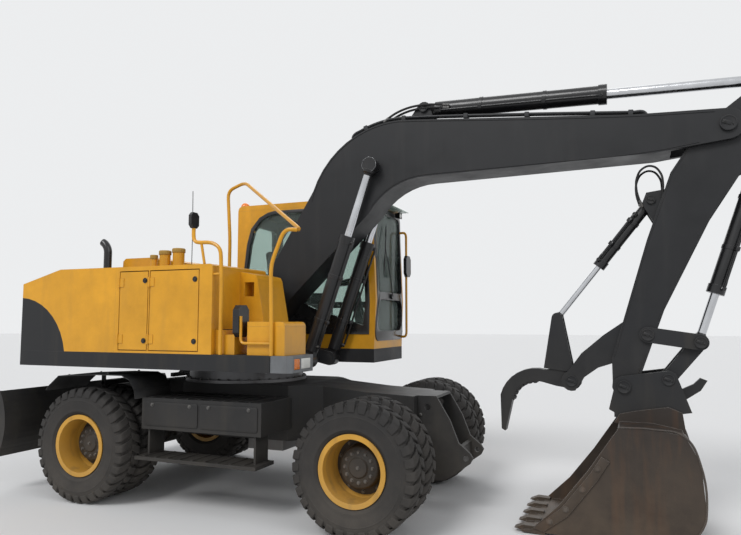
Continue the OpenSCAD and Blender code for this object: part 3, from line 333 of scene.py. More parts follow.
def spun(outline, steps, sharp=30.0, closed=False):
    """A turned shape from its outline as [radius, distance along Z]."""
    shape = as_mesh(drawing_of([[(radius, 0.0, distance) for radius, distance in outline]], closed))
    mode("EDIT")
    bpy.ops.mesh.select_all(action="SELECT")
    bpy.ops.mesh.spin(steps=steps, angle=math.tau, center=(0, 0, 0), axis=(0, 0, 1))
    mode("OBJECT")
    return smoothed(made_solid(shape, 0.0002), sharp)


half_wall = [(0.2545, 0.088), (0.2545, 0.1035), (0.268, 0.1045), (0.284, 0.1050), (0.2925, 0.1140), (0.300, 0.1225),
             (0.309, 0.1285), (0.314, 0.1345), (0.324, 0.1355), (0.329, 0.1340), (0.350, 0.1370), (0.385, 0.1385),
             (0.408, 0.1370), (0.411, 0.1385), (0.416, 0.1380), (0.419, 0.1350), (0.445, 0.1290), (0.470, 0.1200),
             (0.488, 0.1100), (0.498, 0.0960), (0.503, 0.070), (0.505, 0.030)]
carcass = spun(half_wall + [(r, -d) for r, d in reversed(half_wall)], 96, closed=True)

# A lug: a bar cut across its length, bent along [part of its length, lead, radius, distance from the middle]
lug_line = [(0.0, -0.030, 0.5265, 0.004), (0.25, -0.004, 0.5265, 0.045), (0.5, 0.010, 0.5250, 0.088),
            (0.72, 0.022, 0.5120, 0.119), (0.86, 0.026, 0.4850, 0.131), (1.0, 0.028, 0.4480, 0.1375)]
lug_top, lug_foot = 0.068, 0.080


def lug(side):
    bar = block((-0.5, -0.5, 0.0), (0.5, 0.5, 1.0))
    mode("EDIT")
    for cut, *_ in lug_line[1:-1]:
        bpy.ops.mesh.select_all(action="SELECT")
        bpy.ops.mesh.bisect(plane_co=(0, 0, cut), plane_no=(0, 0, 1))
    mode("OBJECT")
    for vertex in bar.data.vertices:
        part = vertex.co.z
        before, after = next((a, b) for a, b in zip(lug_line, lug_line[1:]) if part <= b[0] + 1e-4)
        share = (part - before[0]) / (after[0] - before[0])
        lead, radius, distance = [before[k] + share * (after[k] - before[k]) for k in (1, 2, 3)]
        width = lug_top
        if vertex.co.y <= 0:
            # The foot is wider and sunk into the carcass, less so on the sidewall
            width = lug_foot
            steep = min(1.0, max(0.0, (part - 0.45) / 0.4))
            radius -= (0.030 - 0.018 * part) * (1.0 - 0.75 * steep)
            distance -= 0.020 * steep
        angle = (lead + vertex.co.x * width) / wheel_radius
        vertex.co = (radius * math.cos(angle), radius * math.sin(angle), side * distance)
    return soften(made_solid(bar), 0.004, 1, 28.0)


up = Vector((0.0, 0.0, 1.0))
lug_count = 32
rows = [carcass]
for side in (1.0, -1.0):
    turns = [math.tau / lug_count * (i + (0.25 + 0.25 * side)) for i in range(lug_count)]
    rows.append(copied(lug(side), [(Vector(), up, turn) for turn in turns]))
tyre = joined(rows)
tyre.name = "tyre_model"
for corner, x, s in wheels:
    pair = copied(tyre, [(at(x, s * y, wheel_radius), (0.0, 1.0, 0.0), 0.13 * y) for y in tyre_middles], keep=True)
    tyres = settle(pair, "tread_" + corner, "wheels_" + corner, lug_rubber)
    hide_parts("tyres_" + corner)
bpy.data.objects.remove(tyre)


# Hubs: black cast covers over the planetary gears with a ring of cover bolts and a drain plug, and wheel
# nuts on the rims' dark middle.
def pick_faces(piece, test):
    only(piece)
    mode("EDIT")
    bpy.ops.mesh.select_mode(type="FACE")
    bpy.ops.mesh.select_all(action="DESELECT")
    mode("OBJECT")
    for face in piece.data.polygons:
        face.select = test(face.center, face.normal)
    mode("EDIT")


def cylinder(sides, radius, depth, middle):
    """An upright cylinder round the Z axis, with the height of its middle."""
    nothing_selected()
    bpy.ops.mesh.primitive_cylinder_add(vertices=sides, radius=radius, depth=depth, location=(0, 0, middle))
    bpy.ops.object.transform_apply(location=True)
    return bpy.context.object


def inset_top(piece, rings):
    """Insets the top face once for each (thickness, depth, lift)."""
    pick_faces(piece, lambda middle, normal: normal.z > 0.9)
    for thickness, depth, lift in rings:
        bpy.ops.mesh.inset(thickness=thickness, depth=depth)
        if lift > 0.0:
            bpy.ops.transform.translate(value=(0, 0, lift))
    mode("OBJECT")
    return piece


def hex_head(radius, height):
    """A hexagon bolt head on a washer."""
    head = inset_top(cylinder(6, radius, height, height * 0.5), [(radius * 0.14, 0.0, radius * 0.10)])
    washer = cylinder(16, radius * 1.35, height * 0.25, height * 0.10)
    return joined([head, soften(washer, height * 0.06, 1)])


def bolts(name, body, steel, radius, height, spots):
    settle(copied(hex_head(radius, height), spots), name, body, steel)


hub_black = finish_of(
    "hub_black", (0.020, 0.019, 0.018), 0.55, stain=(0.055, 0.045, 0.035), stain_share=0.6, dust=(0.13, 0.10, 0.07),
    dust_top=1.3, dust_share=0.35, worn=(0.12, 0.11, 0.10), worn_share=0.4)
hub_steel = finish_of(
    "hub_steel", (0.10, 0.095, 0.09), 0.5, metal=0.7, stain=(0.10, 0.06, 0.035), stain_share=0.6, dust_top=1.3,
    dust_share=0.3)
cover_outline = [(0.228, 0.0165), (0.226, 0.024), (0.178, 0.026), (0.177, 0.030), (0.167, 0.101), (0.160, 0.112),
                 (0.151, 0.1175), (0.086, 0.1255), (0.080, 0.130), (0.0715, 0.1395), (0.030, 0.1405), (0.0, 0.1405)]
for corner, x, s in wheels:
    body = "wheels_" + corner
    middle = at(x, s * rim_face, wheel_radius)
    out = Vector((0.0, s, 0.0))
    cover = copied(spun(cover_outline, 48, 28.0), [(middle, out, 0.0)])
    settle(cover, "hub_cover_" + corner, body, hub_black)
    # Rings of bolts, as (how many, first turn, radius, distance out)
    spots = []
    for count, first, radius, distance in ((12, 0.0, 0.118, 0.1215), (10, 0.5, 0.2045, 0.025)):
        for i in range(count):
            a = math.tau * (i + first) / count
            spots.append((middle + out * distance + Vector((math.cos(a), 0.0, math.sin(a))) * radius, out, a))
    spots.append((middle + out * 0.1405, out, 0.0))
    bolts("wheel_bolts_" + corner, body, hub_steel, 0.0125, 0.011, spots)


# Paints and metals of the plain pieces: satin charcoal on the welded frame, splashed with road dirt, yellow
# on the panels and cab, black on boom and cylinders, chromed rods, and a rusty bucket.
frame_paint = finish_of(
    "frame_paint", (0.014, 0.0145, 0.016), 0.52, stain=(0.040, 0.035, 0.028), stain_share=0.4,
    dust=(0.105, 0.090, 0.070), dust_top=1.2, dust_share=0.40, worn=(0.085, 0.082, 0.078), worn_share=0.5)
dress(["chassis", "front_bracket", "front_axle", "rear_axle", "side_steps", "knuckle_left", "knuckle_right", "blade",
       "platform", "counterweight", "coupler", "idler_links", "push_link"], frame_paint)
machine_steel = finish_of(
    "machine_steel", (0.16, 0.16, 0.165), 0.45, metal=0.6, stain=(0.05, 0.045, 0.04), stain_share=0.6, dust_top=1.2,
    dust_share=0.35, worn=(0.35, 0.34, 0.33), worn_share=0.4)
dress(["slew_ring", "driveline", "engine"], machine_steel)
yellow_paint = finish_of(
    "yellow_paint", (0.69, 0.325, 0.014), 0.34, stain=(0.34, 0.18, 0.035), stain_share=0.22, dust=(0.40, 0.25, 0.08),
    dust_top=2.2, dust_share=0.16, worn=(0.36, 0.24, 0.09), worn_share=0.45, grain=260.0, bump=0.05, gloss=0.15)
dress(["hood", "tank_housing", "tool_box", "handrails", "hood_lid", "engine_door", "pump_door", "cooler_door",
       "tool_box_lid", "cab_roof", "cab_frame", "cab_door"], yellow_paint)
boom_paint = finish_of(
    "boom_paint", (0.0105, 0.0110, 0.0125), 0.42, stain=(0.030, 0.029, 0.028), stain_share=0.3,
    dust=(0.11, 0.095, 0.075), dust_top=1.6, dust_share=0.25, worn=(0.080, 0.078, 0.076), worn_share=0.5)
dress(["boom", "arm", "thumb"], boom_paint)
barrel_paint = finish_of(
    "barrel_paint", (0.009, 0.009, 0.010), 0.30, stain=(0.035, 0.032, 0.03), stain_share=0.3,
    dust=(0.11, 0.095, 0.075), dust_top=1.4, dust_share=0.2, worn=(0.10, 0.10, 0.10), worn_share=0.4, gloss=0.3)
dress(["blade_barrels", "boom_barrels", "arm_barrel", "bucket_barrel", "thumb_barrel", "mirrors", "exhaust"],
      barrel_paint)
rod_chrome = finish_of(
    "rod_chrome", (0.62, 0.63, 0.65), 0.13, metal=1.0, stain=(0.38, 0.37, 0.36), stain_share=0.25, grain=300.0,
    bump=0.02)
dress(["blade_rods", "boom_rods", "arm_rod", "bucket_rod", "thumb_rod"], rod_chrome)
bucket_steel = finish_of(
    "bucket_steel", (0.036, 0.029, 0.025), 0.55, metal=0.25, stain=(0.10, 0.050, 0.026), stain_share=0.6,
    dust=(0.13, 0.095, 0.065), dust_top=1.0, dust_share=0.45, worn=(0.30, 0.28, 0.26), worn_share=0.9, grain=40.0,
    bump=0.5)
dress(["bucket"], bucket_steel)
trim_plastic = finish_of(
    "trim_plastic", (0.035, 0.036, 0.038), 0.62, stain_share=0.2, grain=400.0, bump=0.2, edge=0.003)
dress(["console"], trim_plastic)
lamp_grey = finish_of("lamp_grey", (0.16, 0.17, 0.18), 0.45, stain_share=0.3, dust_top=1.6, dust_share=0.2)
dress(["front_lamps"], lamp_grey)
seat_fabric = finish_of(
    "seat_fabric", (0.05, 0.05, 0.055), 0.9, stain_share=0.1, dust_top=0.1, dust_share=0.0, grain=900.0, bump=0.5)
dress(["seat"], seat_fabric)

# Panes: green-grey safety glass with a thin film of dirt
tinted_glass, tree, shader = new_material("tinted_glass", {"Base Color": (0.62, 0.72, 0.68, 1.0),
                                                           "Transmission Weight": 0.92, "IOR": 1.12})
place = add_node(tree, "TexCoord").outputs["Object"]
film = add_node(tree, "TexNoise", {"Scale": 3.0, "Detail": 6.0}, {"Vector": place}).outputs["Fac"]
tree.links.new(mapped(tree, film, 0.35, 0.75, 0.02, 0.14), shader.inputs["Roughness"])
dress(["cab_glass", "cab_door_glass"], tinted_glass)


# Slewing ring, step boxes and front bracket: hexagon bolts round the ring's flange, raised bars on the
# treads, flaps with latches on the boxes' sides and bolts on the bracket's foot, all under road dirt.
fastener_steel = finish_of(
    "fastener_steel", (0.12, 0.118, 0.115), 0.42, metal=0.8, stain=(0.09, 0.06, 0.04), stain_share=0.5, dust_top=1.2,
    dust_share=0.3)
ring_radius, ring_top, ring_bolts = 0.601, 1.110, 36
ring_turns = [math.tau * (i + 0.5) / ring_bolts for i in range(ring_bolts)]
bolts("slew_ring_bolts", "undercarriage", fastener_steel, 0.013, 0.012,
      [(at(ring_radius * math.cos(a), ring_radius * math.sin(a), ring_top), up, a) for a in ring_turns])


def box_piece(low, high, round_width, steps=2):
    """A block between two corners with rounded edges."""
    return soften(block(low, high), round_width, steps)


def plate(loops, thickness, place, round_width):
    """A flat plate from outlines in its own plane; the first outline is its edge and the others are openings."""
    drawing = drawing_of([[(u, v, 0.0) for u, v in loop] for loop in loops], True, "2D")
    drawing.data.fill_mode = "BOTH"
    drawing.data.extrude = thickness / 2
    sheet_metal = made_solid(as_mesh(drawing), 0.0001)
    sheet_metal.data.transform(place)
    return soften(sheet_metal, round_width, 2)


def side_plane(y):
    """Places a drawing in the X-Z plane at a distance y from the middle; u runs forward and v up."""
    return Matrix(((1, 0, 0, swing_x), (0, 0, -1, y), (0, 1, 0, 0), (0, 0, 0, 1)))


def front_plane(x):
    """Places a drawing in the Y-Z plane; u runs to the left and v up."""
    return Matrix(((0, 0, 1, x + swing_x), (1, 0, 0, 0), (0, 1, 0, 0), (0, 0, 0, 1)))


def top_plane(z):
    """Places a drawing level; u runs forward and v to the left."""
    return Matrix(((1, 0, 0, swing_x), (0, 1, 0, 0), (0, 0, 1, z), (0, 0, 0, 1)))


def arc_points(cx, cz, radius, a0, a1, steps):
    """Points along an arc between two angles in degrees."""
    angles = [math.radians(a0 + (a1 - a0) * i / steps) for i in range(steps + 1)]
    return [(cx + radius * math.cos(a), cz + radius * math.sin(a)) for a in angles]


def rounded(u0, v0, u1, v1, r):
    """A rectangle's outline with round corners."""
    points = []
    for cu, cv, a0 in ((u1 - r, v1 - r, 0), (u0 + r, v1 - r, 90), (u0 + r, v0 + r, 180), (u1 - r, v0 + r, 270)):
        points += arc_points(cu, cv, r, a0, a0 + 90, 6)
    return points


# Raised bars across the open treads and the boxes' tops, so that boots hold
bars = []
bar_step, bar_width = 0.13, 0.022
for s in (-1.0, 1.0):
    for i in range(9):
        x = -0.34 + bar_step * i
        for z, y0, y1 in ((0.470, 0.875, 1.150), (0.980, 0.620, 1.060)):
            bars.append(box_piece(at(x, s * y0, z - 0.002), at(x + bar_width, s * y1, z + 0.007), 0.003, 1))
settle(joined(bars), "step_bars", "undercarriage", frame_paint)
flaps = [plate([rounded(x0, 0.735, x1, 0.945, 0.02)], 0.008, side_plane(s * 1.084), 0.002)
         for s in (-1.0, 1.0) for x0, x1 in ((-0.385, 0.195), (0.225, 0.805))]
settle(joined(flaps), "step_box_flaps", "undercarriage", frame_paint)
bolts("step_box_latches", "undercarriage", fastener_steel, 0.014, 0.010,
      [(at(x, s * 1.088, 0.92), (0.0, s, 0.0), 0.0) for s in (-1.0, 1.0) for x in (-0.30, 0.11, 0.31, 0.72)])
bolts("bracket_bolts", "undercarriage", fastener_steel, 0.012, 0.011,
      [(at(1.975, s * 0.235, 0.34 + 0.10 * i), (0.0, s, 0.0), 0.3) for s in (-1.0, 1.0) for i in range(6)])


# Rear mudguards: pressed plates over the twin tyres with turned-down rear flaps, each on two bars from the
# chassis and bolted to the step box's rear end.
guard_line = [(-1.478, 1.020), (-1.437, 1.066), (-1.322, 1.158), (-0.850, 1.184), (-0.560, 1.186), (-0.470, 1.150),
              (-0.408, 1.060), (-0.396, 0.985)]
guard_under = [(x + 0.003, z - 0.007) for x, z in reversed(guard_line)]
guards = []
guard_bolts = []
for s in (-1.0, 1.0):
    guards.append(plate([guard_line + guard_under], 0.500, side_plane(s * 0.960), 0.002))
    for x in (-1.260, -0.780):
        guards.append(box_piece(at(x, s * 0.330, 1.030), at(x + 0.050, s * 0.730, 1.075), 0.004, 2))
        guards.append(box_piece(at(x, s * 0.714, 1.030), at(x + 0.050, s * 0.730, 1.155), 0.003, 1))
        for y in (0.760, 1.160):
            guard_bolts.append((at(x + 0.025, s * y, 1.160 + (x + 1.322) * 0.055), up, 0.0))
settle(joined(guards), "rear_mudguards", "undercarriage", frame_paint)
bolts("mudguard_bolts", "undercarriage", fastener_steel, 0.009, 0.007, guard_bolts)


# Hood and housings: pressed yellow panels whose doors have round push latches, with black anti-slip
# patches on top, ribbed filler caps and a whip aerial in a rubber foot.
seam_rubber = finish_of(
    "seam_rubber", (0.010, 0.010, 0.011), 0.75, stain_share=0.15, grain=300.0, bump=0.2, edge=0.002)
grip_black = finish_of(
    "grip_black", (0.016, 0.016, 0.017), 0.92, stain=(0.06, 0.055, 0.05), stain_share=0.4, grain=420.0, bump=0.9,
    edge=0.002)
# Patches on the housing's top, the hood and the tool box, as [x0, y0, x1, y1, corner, height]
patches = [plate([rounded(x0, y0, x1, y1, corner)], 0.005, top_plane(z), 0.0015) for x0, y0, x1, y1, corner, z in [
    (-0.62, -1.16, 0.36, -0.92, 0.02, 2.1722), (-0.62, -0.62, 0.36, -0.40, 0.02, 2.1722),
    (-1.20, -1.00, -0.70, -0.78, 0.02, 2.1722), (0.445, -1.15, 0.515, -0.83, 0.01, 1.6022)]]
settle(joined(patches), "anti_slip_patches", "upper", grip_black)


def pull_latch():
    """A round push latch in a shallow cup."""
    cup = inset_top(cylinder(24, 0.024, 0.006, 0.003), [(0.004, 0.0, 0.0), (0.001, -0.004, 0.0)])
    soften(cup, 0.001, 2)
    return joined([cup, soften(cylinder(20, 0.012, 0.007, 0.0045), 0.0015, 2)])


for door, x, s in (("engine_door", -0.300, -1.0), ("pump_door", 0.245, -1.0), ("cooler_door", -0.505, 1.0)):
    spots = [(at(x, s * 1.225, z), (0.0, s, 0.0), 0.0) for z in (1.50, 2.04)]
    settle(copied(pull_latch(), spots), door + "_latches", door, barrel_paint)


def cap(radius, height):
    """A ribbed screw cap."""
    lid = cylinder(32, radius, height, height / 2)
    for vertex in lid.data.vertices:
        ring_place = round(math.atan2(vertex.co.y, vertex.co.x) / (math.tau / 32))
        if ring_place % 2 == 0:
            vertex.co.x *= 0.955
            vertex.co.y *= 0.955
    inset_top(lid, [(radius * 0.10, 0.0, radius * 0.12), (radius * 0.30, -radius * 0.06, 0.0)])
    return soften(lid, radius * 0.03, 2)


cap_paint = finish_of(
    "cap_paint", (0.40, 0.24, 0.05), 0.5, stain=(0.12, 0.09, 0.05), stain_share=0.6, dust_share=0.2,
    worn=(0.3, 0.25, 0.18), worn_share=0.4)
caps = [copied(cap(radius, 0.035), [(at(x, y, z), up, 0.0)]) for x, y, z, radius in [
    (-0.440, -0.800, 2.318, 0.060), (-0.310, -0.760, 2.338, 0.064), (-0.540, -0.840, 2.278, 0.038)]]
settle(joined(caps), "filler_caps", "upper", cap_paint)


def route_of(points, smooth):
    """A curve through a row of points."""
    nothing_selected()
    bpy.ops.curve.primitive_bezier_curve_add()
    route = bpy.context.object
    route.data.splines.clear()
    route.data.dimensions = "3D"
    line = route.data.splines.new("BEZIER")
    line.bezier_points.add(len(points) - 1)
    for knot, point in zip(line.bezier_points, points):
        knot.co = point
        knot.handle_left_type = "AUTO" if smooth else "VECTOR"
        knot.handle_right_type = "AUTO" if smooth else "VECTOR"
    line.resolution_u = 6
    return route


def pipe(points, radius, sides=3, smooth=True):
    """A bent tube through a row of points."""
    route = route_of(points, smooth)
    route.data.bevel_depth = radius
    route.data.bevel_resolution = sides
    route.data.use_fill_caps = True
    return smoothed(as_mesh(route), 40.0)


foot_piece = copied(cap(0.022, 0.030), [(at(-0.20, -0.70, 2.170), up, 0.0)])
whip = pipe([at(-0.20, -0.70, 2.19), at(-0.20, -0.70, 2.55), at(-0.205, -0.70, 2.95)], 0.0035)
settle(joined([foot_piece, whip]), "aerial", "upper", seam_rubber)


# Cab: yellow pillars with black panels and deep black frames round the panes, grey linings and a ribbed
# rubber mat inside, a wiper and a screwed visor at the front, and a handle and grab bar on the door.
panel_black = finish_of(
    "panel_black", (0.012, 0.012, 0.013), 0.28, stain=(0.05, 0.048, 0.045), stain_share=0.3, dust_top=2.0,
    dust_share=0.18, grain=260.0, bump=0.05, gloss=0.3, worn=(0.10, 0.10, 0.10), worn_share=0.3)


def cab_face(z):
    """The cab's front face, X at a height."""
    if z < 1.9:
        return 1.290 + 0.020 * (z - 1.390) / 0.510
    return 1.310 - 0.040 * (z - 1.9) / (2.865 - 1.9)


def on_face(piece, behind):
    """Leans an upright plate along the cab's front face, so far behind it."""
    for vertex in piece.data.vertices:
        vertex.co.x += cab_face(vertex.co.z) - behind
    return piece


# Frames round the panes: windscreen with a cross bar where its two panes meet, right window with the panel
# under it, rear window, left window and door
right_open = [(-0.262, 2.208), (-0.217, 2.530), (-0.170, 2.690), (-0.080, 2.800), (0.020, 2.850), (0.090, 2.867),
              (1.162, 2.867), (1.192, 1.900), (1.172, 1.632), (0.600, 1.812)]
right_edge = [(-0.300, 2.172), (-0.258, 2.540), (-0.205, 2.720), (-0.100, 2.838), (0.010, 2.890), (0.090, 2.905),
              (1.196, 2.905), (1.243, 1.900), (1.236, 1.540), (-0.300, 1.540)]
left_face = 1.2052
left_open = [(-0.289, 2.206), (-0.046, 2.206), (-0.046, 2.814), (-0.212, 2.814), (-0.289, 2.696)]
left_edge = [(-0.325, 2.165), (-0.005, 2.165), (-0.005, 2.855), (-0.230, 2.855), (-0.325, 2.720)]
rear_open = rounded(0.456, 2.246, 1.126, 2.794, 0.05)
lower_door_open = rounded(0.106, 1.596, 0.924, 1.834, 0.03)
screen_frame = plate([rounded(0.372, 1.470, 1.210, 2.905, 0.09), rounded(0.420, 1.985, 1.162, 2.845, 0.06),
                      rounded(0.420, 1.575, 1.162, 1.905, 0.10)], 0.055, front_plane(0.0), 0.003)
settle(on_face(screen_frame, 0.0173), "windscreen_seal", "upper", panel_black)
for name, body, loops, thickness, place in [
    ("right_window_panel", "upper", [right_edge, right_open], 0.053, side_plane(0.3788)),
    ("rear_window_seal", "upper", [rounded(0.420, 2.205, 1.162, 2.835, 0.07), rear_open], 0.050, front_plane(-0.3685)),
    ("left_window_seal", "upper", [left_edge, left_open], 0.050, side_plane(left_face)),
    ("door_panel", "cab_door", [rounded(0.070, 1.560, 0.960, 2.775, 0.05), rounded(0.106, 1.906, 0.924, 2.739, 0.03),
                                lower_door_open], 0.050, side_plane(left_face)),
]:
    settle(plate(loops, thickness, place, 0.002), name, body, panel_black)

# Linings inside the pillars and walls, a headliner and a rubber mat on the floor
cab_lining = finish_of("cab_lining", (0.060, 0.062, 0.066), 0.75, stain_share=0.2, grain=500.0, bump=0.25, edge=0.002)
lining_sheet = 0.006
inside_line = [(-0.338, 1.455), (1.240, 1.455), (1.258, 1.900), (1.222, 2.862), (1.190, 2.916), (-0.338, 2.916)]
door_open = [(0.026, 1.486), (1.004, 1.486), (1.004, 2.869), (0.026, 2.869)]
linings = [plate(loops, lining_sheet, place, 0.001) for loops, place in (
    ([inside_line, right_open], side_plane(0.4090)),
    ([inside_line, door_open, left_open], side_plane(1.1730)),
    ([rounded(0.415, 1.455, 1.167, 2.912, 0.01), rear_open], front_plane(-0.3365)),
    ([rounded(0.412, 1.470, 1.170, 2.900, 0.02), rounded(0.424, 1.985, 1.158, 2.845, 0.05),
      rounded(0.424, 1.575, 1.158, 1.905, 0.05)], front_plane(0.0)))]
on_face(linings[-1], 0.049)
linings.append(plate([rounded(-0.330, 0.415, 1.190, 1.167, 0.02)], 0.010, top_plane(2.9180), 0.004))
settle(joined(linings), "cab_linings", "upper", cab_lining)
floor_mat = plate([rounded(-0.336, 0.408, 1.240, 1.174, 0.02)], lining_sheet, top_plane(1.4535), 0.002)
mat_ribs = [box_piece(at(0.42 + 0.022 * i, 0.50, 1.4560), at(0.430 + 0.022 * i, 1.08, 1.4600), 0.001, 1)
            for i in range(24)]
settle(joined([floor_mat] + mat_ribs), "cab_floor_mat", "upper", seam_rubber)
door_lining = plate([rounded(0.042, 1.502, 0.988, 2.853, 0.03), rounded(0.106, 1.906, 0.924, 2.789, 0.03),
                     lower_door_open], lining_sheet, side_plane(1.1735), 0.001)
settle(door_lining, "cab_door_lining", "cab_door", cab_lining)

# Door handle: a lever over a shallow cup, and a grab bar on the front stile
handle_cup = plate([rounded(0.800, 1.842, 0.905, 1.898, 0.02)], 0.010, side_plane(1.2280), 0.003)
handle = pipe([at(0.815, 1.230, 1.875), at(0.820, 1.236, 1.874), at(0.860, 1.2375, 1.868), at(0.890, 1.236, 1.862),
               at(0.895, 1.230, 1.861)], 0.006)
settle(joined([handle_cup, handle]), "door_handle", "cab_door", barrel_paint)
grab = pipe([at(0.962, y, z) for y, z in ((1.218, 2.02), (1.232, 2.03), (1.2345, 2.08), (1.2345, 2.52), (1.232, 2.57),
                                          (1.218, 2.58))], 0.009)
settle(grab, "door_grab_bar", "cab_door", yellow_paint)

# Wiper: a motor cup under the upper pane, an arm and a blade held off the glass
forward = Vector((1.0, 0.0, 0.0))
motor = copied(cap(0.030, 0.020), [(at(cab_face(1.94) + 0.008, 0.80, 1.945), forward, 0.0)])
wiper_arm = pipe([at(cab_face(1.945) + 0.030, 0.80, 1.945), at(cab_face(2.1) + 0.032, 0.76, 2.10),
                  at(cab_face(2.45) + 0.022, 0.66, 2.45)], 0.006)
wiper_blade = pipe([at(cab_face(2.2) + 0.014, 0.60, 2.18), at(cab_face(2.45) + 0.016, 0.66, 2.45),
                    at(cab_face(2.7) + 0.014, 0.72, 2.72)], 0.007)
settle(joined([motor, wiper_arm, wiper_blade]), "windscreen_wiper", "upper", barrel_paint)

# Visor over the windscreen: a milky green sheet with a turned-down lip, screwed under the roof's front edge
visor_sheet_paint = finish_of(
    "visor_sheet_paint", (0.34, 0.45, 0.39), 0.22, stain=(0.20, 0.24, 0.20), stain_share=0.3, grain=500.0, bump=0.03,
    gloss=0.4)
visor = box_piece(at(1.238, 0.412, 2.9235), at(1.372, 1.170, 2.9465), 0.002, 1)
pick_faces(visor, lambda middle, normal: normal.x > 0.9)
bpy.ops.mesh.extrude_region_move(TRANSFORM_OT_translate={"value": (0.030, 0.0, -0.012)})
bpy.ops.transform.resize(value=(1.0, 0.985, 0.35))
mode("OBJECT")
settle(soften(visor, 0.002, 2), "windscreen_visor", "upper", visor_sheet_paint)
bolts("visor_screws", "upper", fastener_steel, 0.008, 0.006,
      [(at(1.300, y, 2.9462), up, 0.0) for y in (0.47, 0.79, 1.11)])


# Lamps and mirrors: black work lamps with domed glasses on the cab, moulded amber and white glasses in the
# front housing, an amber beacon, and mirror glasses set into the rims of the mirrors.
def lamp_head(width, height, depth):
    """A work lamp: a deep box with a sunk face that narrows to its back."""
    head = block((-width / 2, -height / 2, 0.0), (width / 2, height / 2, depth))
    inset_top(head, [(width * 0.08, 0.0, 0.0), (0.001, -depth * 0.12, 0.0)])
    pick_faces(head, lambda middle, normal: normal.z < -0.9)
    bpy.ops.transform.resize(value=(0.72, 0.72, 1.0))
    mode("OBJECT")
    return soften(head, 0.004, 2)


def lens(radius, bulge):
    """A round glass, domed over its middle."""
    glass = inset_top(cylinder(32, radius, 0.004, 0.002), [(radius * 0.28, bulge / step, 0.0) for step in (2, 3, 4)])
    return soften(glass, 0.0008, 1, angle=60.0)


lens_white = finish_of("lens_white", (0.78, 0.78, 0.74), 0.12, stain_share=0.1, grain=700.0, bump=0.6, gloss=0.6)
lens_amber = finish_of("lens_amber", (0.85, 0.22, 0.015), 0.15, stain_share=0.1, grain=600.0, bump=0.7, gloss=0.6)
# Two work lamps under the visor and two over the rear window
lamp_spots = [(at(1.283, 0.520, 2.882), forward, 0.0), (at(1.283, 1.060, 2.882), forward, 0.0),
              (at(-0.392, 0.500, 2.884), -forward, 0.0), (at(-0.392, 1.080, 2.884), -forward, 0.0)]
settle(copied(lamp_head(0.082, 0.074, 0.060), lamp_spots), "work_lamps", "upper", barrel_paint)
glass_spots = [(place + way * 0.0535, way, turn) for place, way, turn in lamp_spots]
settle(copied(lens(0.029, 0.006), glass_spots), "work_lamp_lenses", "upper", lens_white)

# Front lamps in the grey housing under the tool box, with ribs 14 mm apart on their glasses
rib_step = 0.014
for name, y0, y1, glass in (("front_lamp_amber", -1.149, -1.051, lens_amber),
                            ("front_lamp_white", -1.029, -0.861, lens_white)):
    ribs = [box_piece(at(1.1740, y0, 1.2760), at(1.1890, y1, 1.3640), 0.004, 2)]
    for i in range(1, round((y1 - y0) / rib_step)):
        y = y0 + rib_step * i
        ribs.append(box_piece(at(1.1885, y - 0.002, 1.2820), at(1.1905, y + 0.002, 1.3580), 0.0008, 1))
    settle(joined(ribs), name, "upper", glass)

# Mirror glasses in a narrow rim, on the faces that look back
mirror_glass = finish_of(
    "mirror_glass", (0.80, 0.82, 0.84), 0.06, metal=1.0, stain=(0.5, 0.5, 0.5), stain_share=0.15, grain=500.0,
    bump=0.01)
rim = 0.009
for name, x, y, z, width, height in (("mirror_glass_front", 0.636, -1.143, 1.540, 0.156, 0.270),
                                     ("mirror_glass_rear", 0.188, -1.205, 2.490, 0.110, 0.140),
                                     ("mirror_glass_left", 1.374, 1.137, 2.180, 0.160, 0.240)):
    cut = width / 4
    half = width / 2 - rim
    low, high = z + rim, z + height - rim
    pane_line = [(y - half + cut, low), (y + half - cut, low), (y + half, low + cut), (y + half, high - cut),
                 (y + half - cut, high), (y - half + cut, high), (y - half, high - cut), (y - half, low + cut)]
    settle(plate([pane_line], 0.004, front_plane(x - 0.0016), 0.001), name, "upper", mirror_glass)

# Beacon: an amber dome, cut off flat above its black foot, at the cab's rear right corner
nothing_selected()
bpy.ops.mesh.primitive_uv_sphere_add(segments=28, ring_count=14, radius=0.052, location=at(-0.335, 0.430, 2.985))
dome = bpy.context.object
bpy.ops.object.transform_apply(location=True)
only(dome)
mode("EDIT")
bpy.ops.mesh.select_all(action="SELECT")
bpy.ops.mesh.bisect(plane_co=at(-0.335, 0.430, 2.990), plane_no=(0, 0, 1), clear_inner=True, use_fill=True)
mode("OBJECT")
settle(smoothed(dome, 40.0), "beacon_dome", "upper", lens_amber)


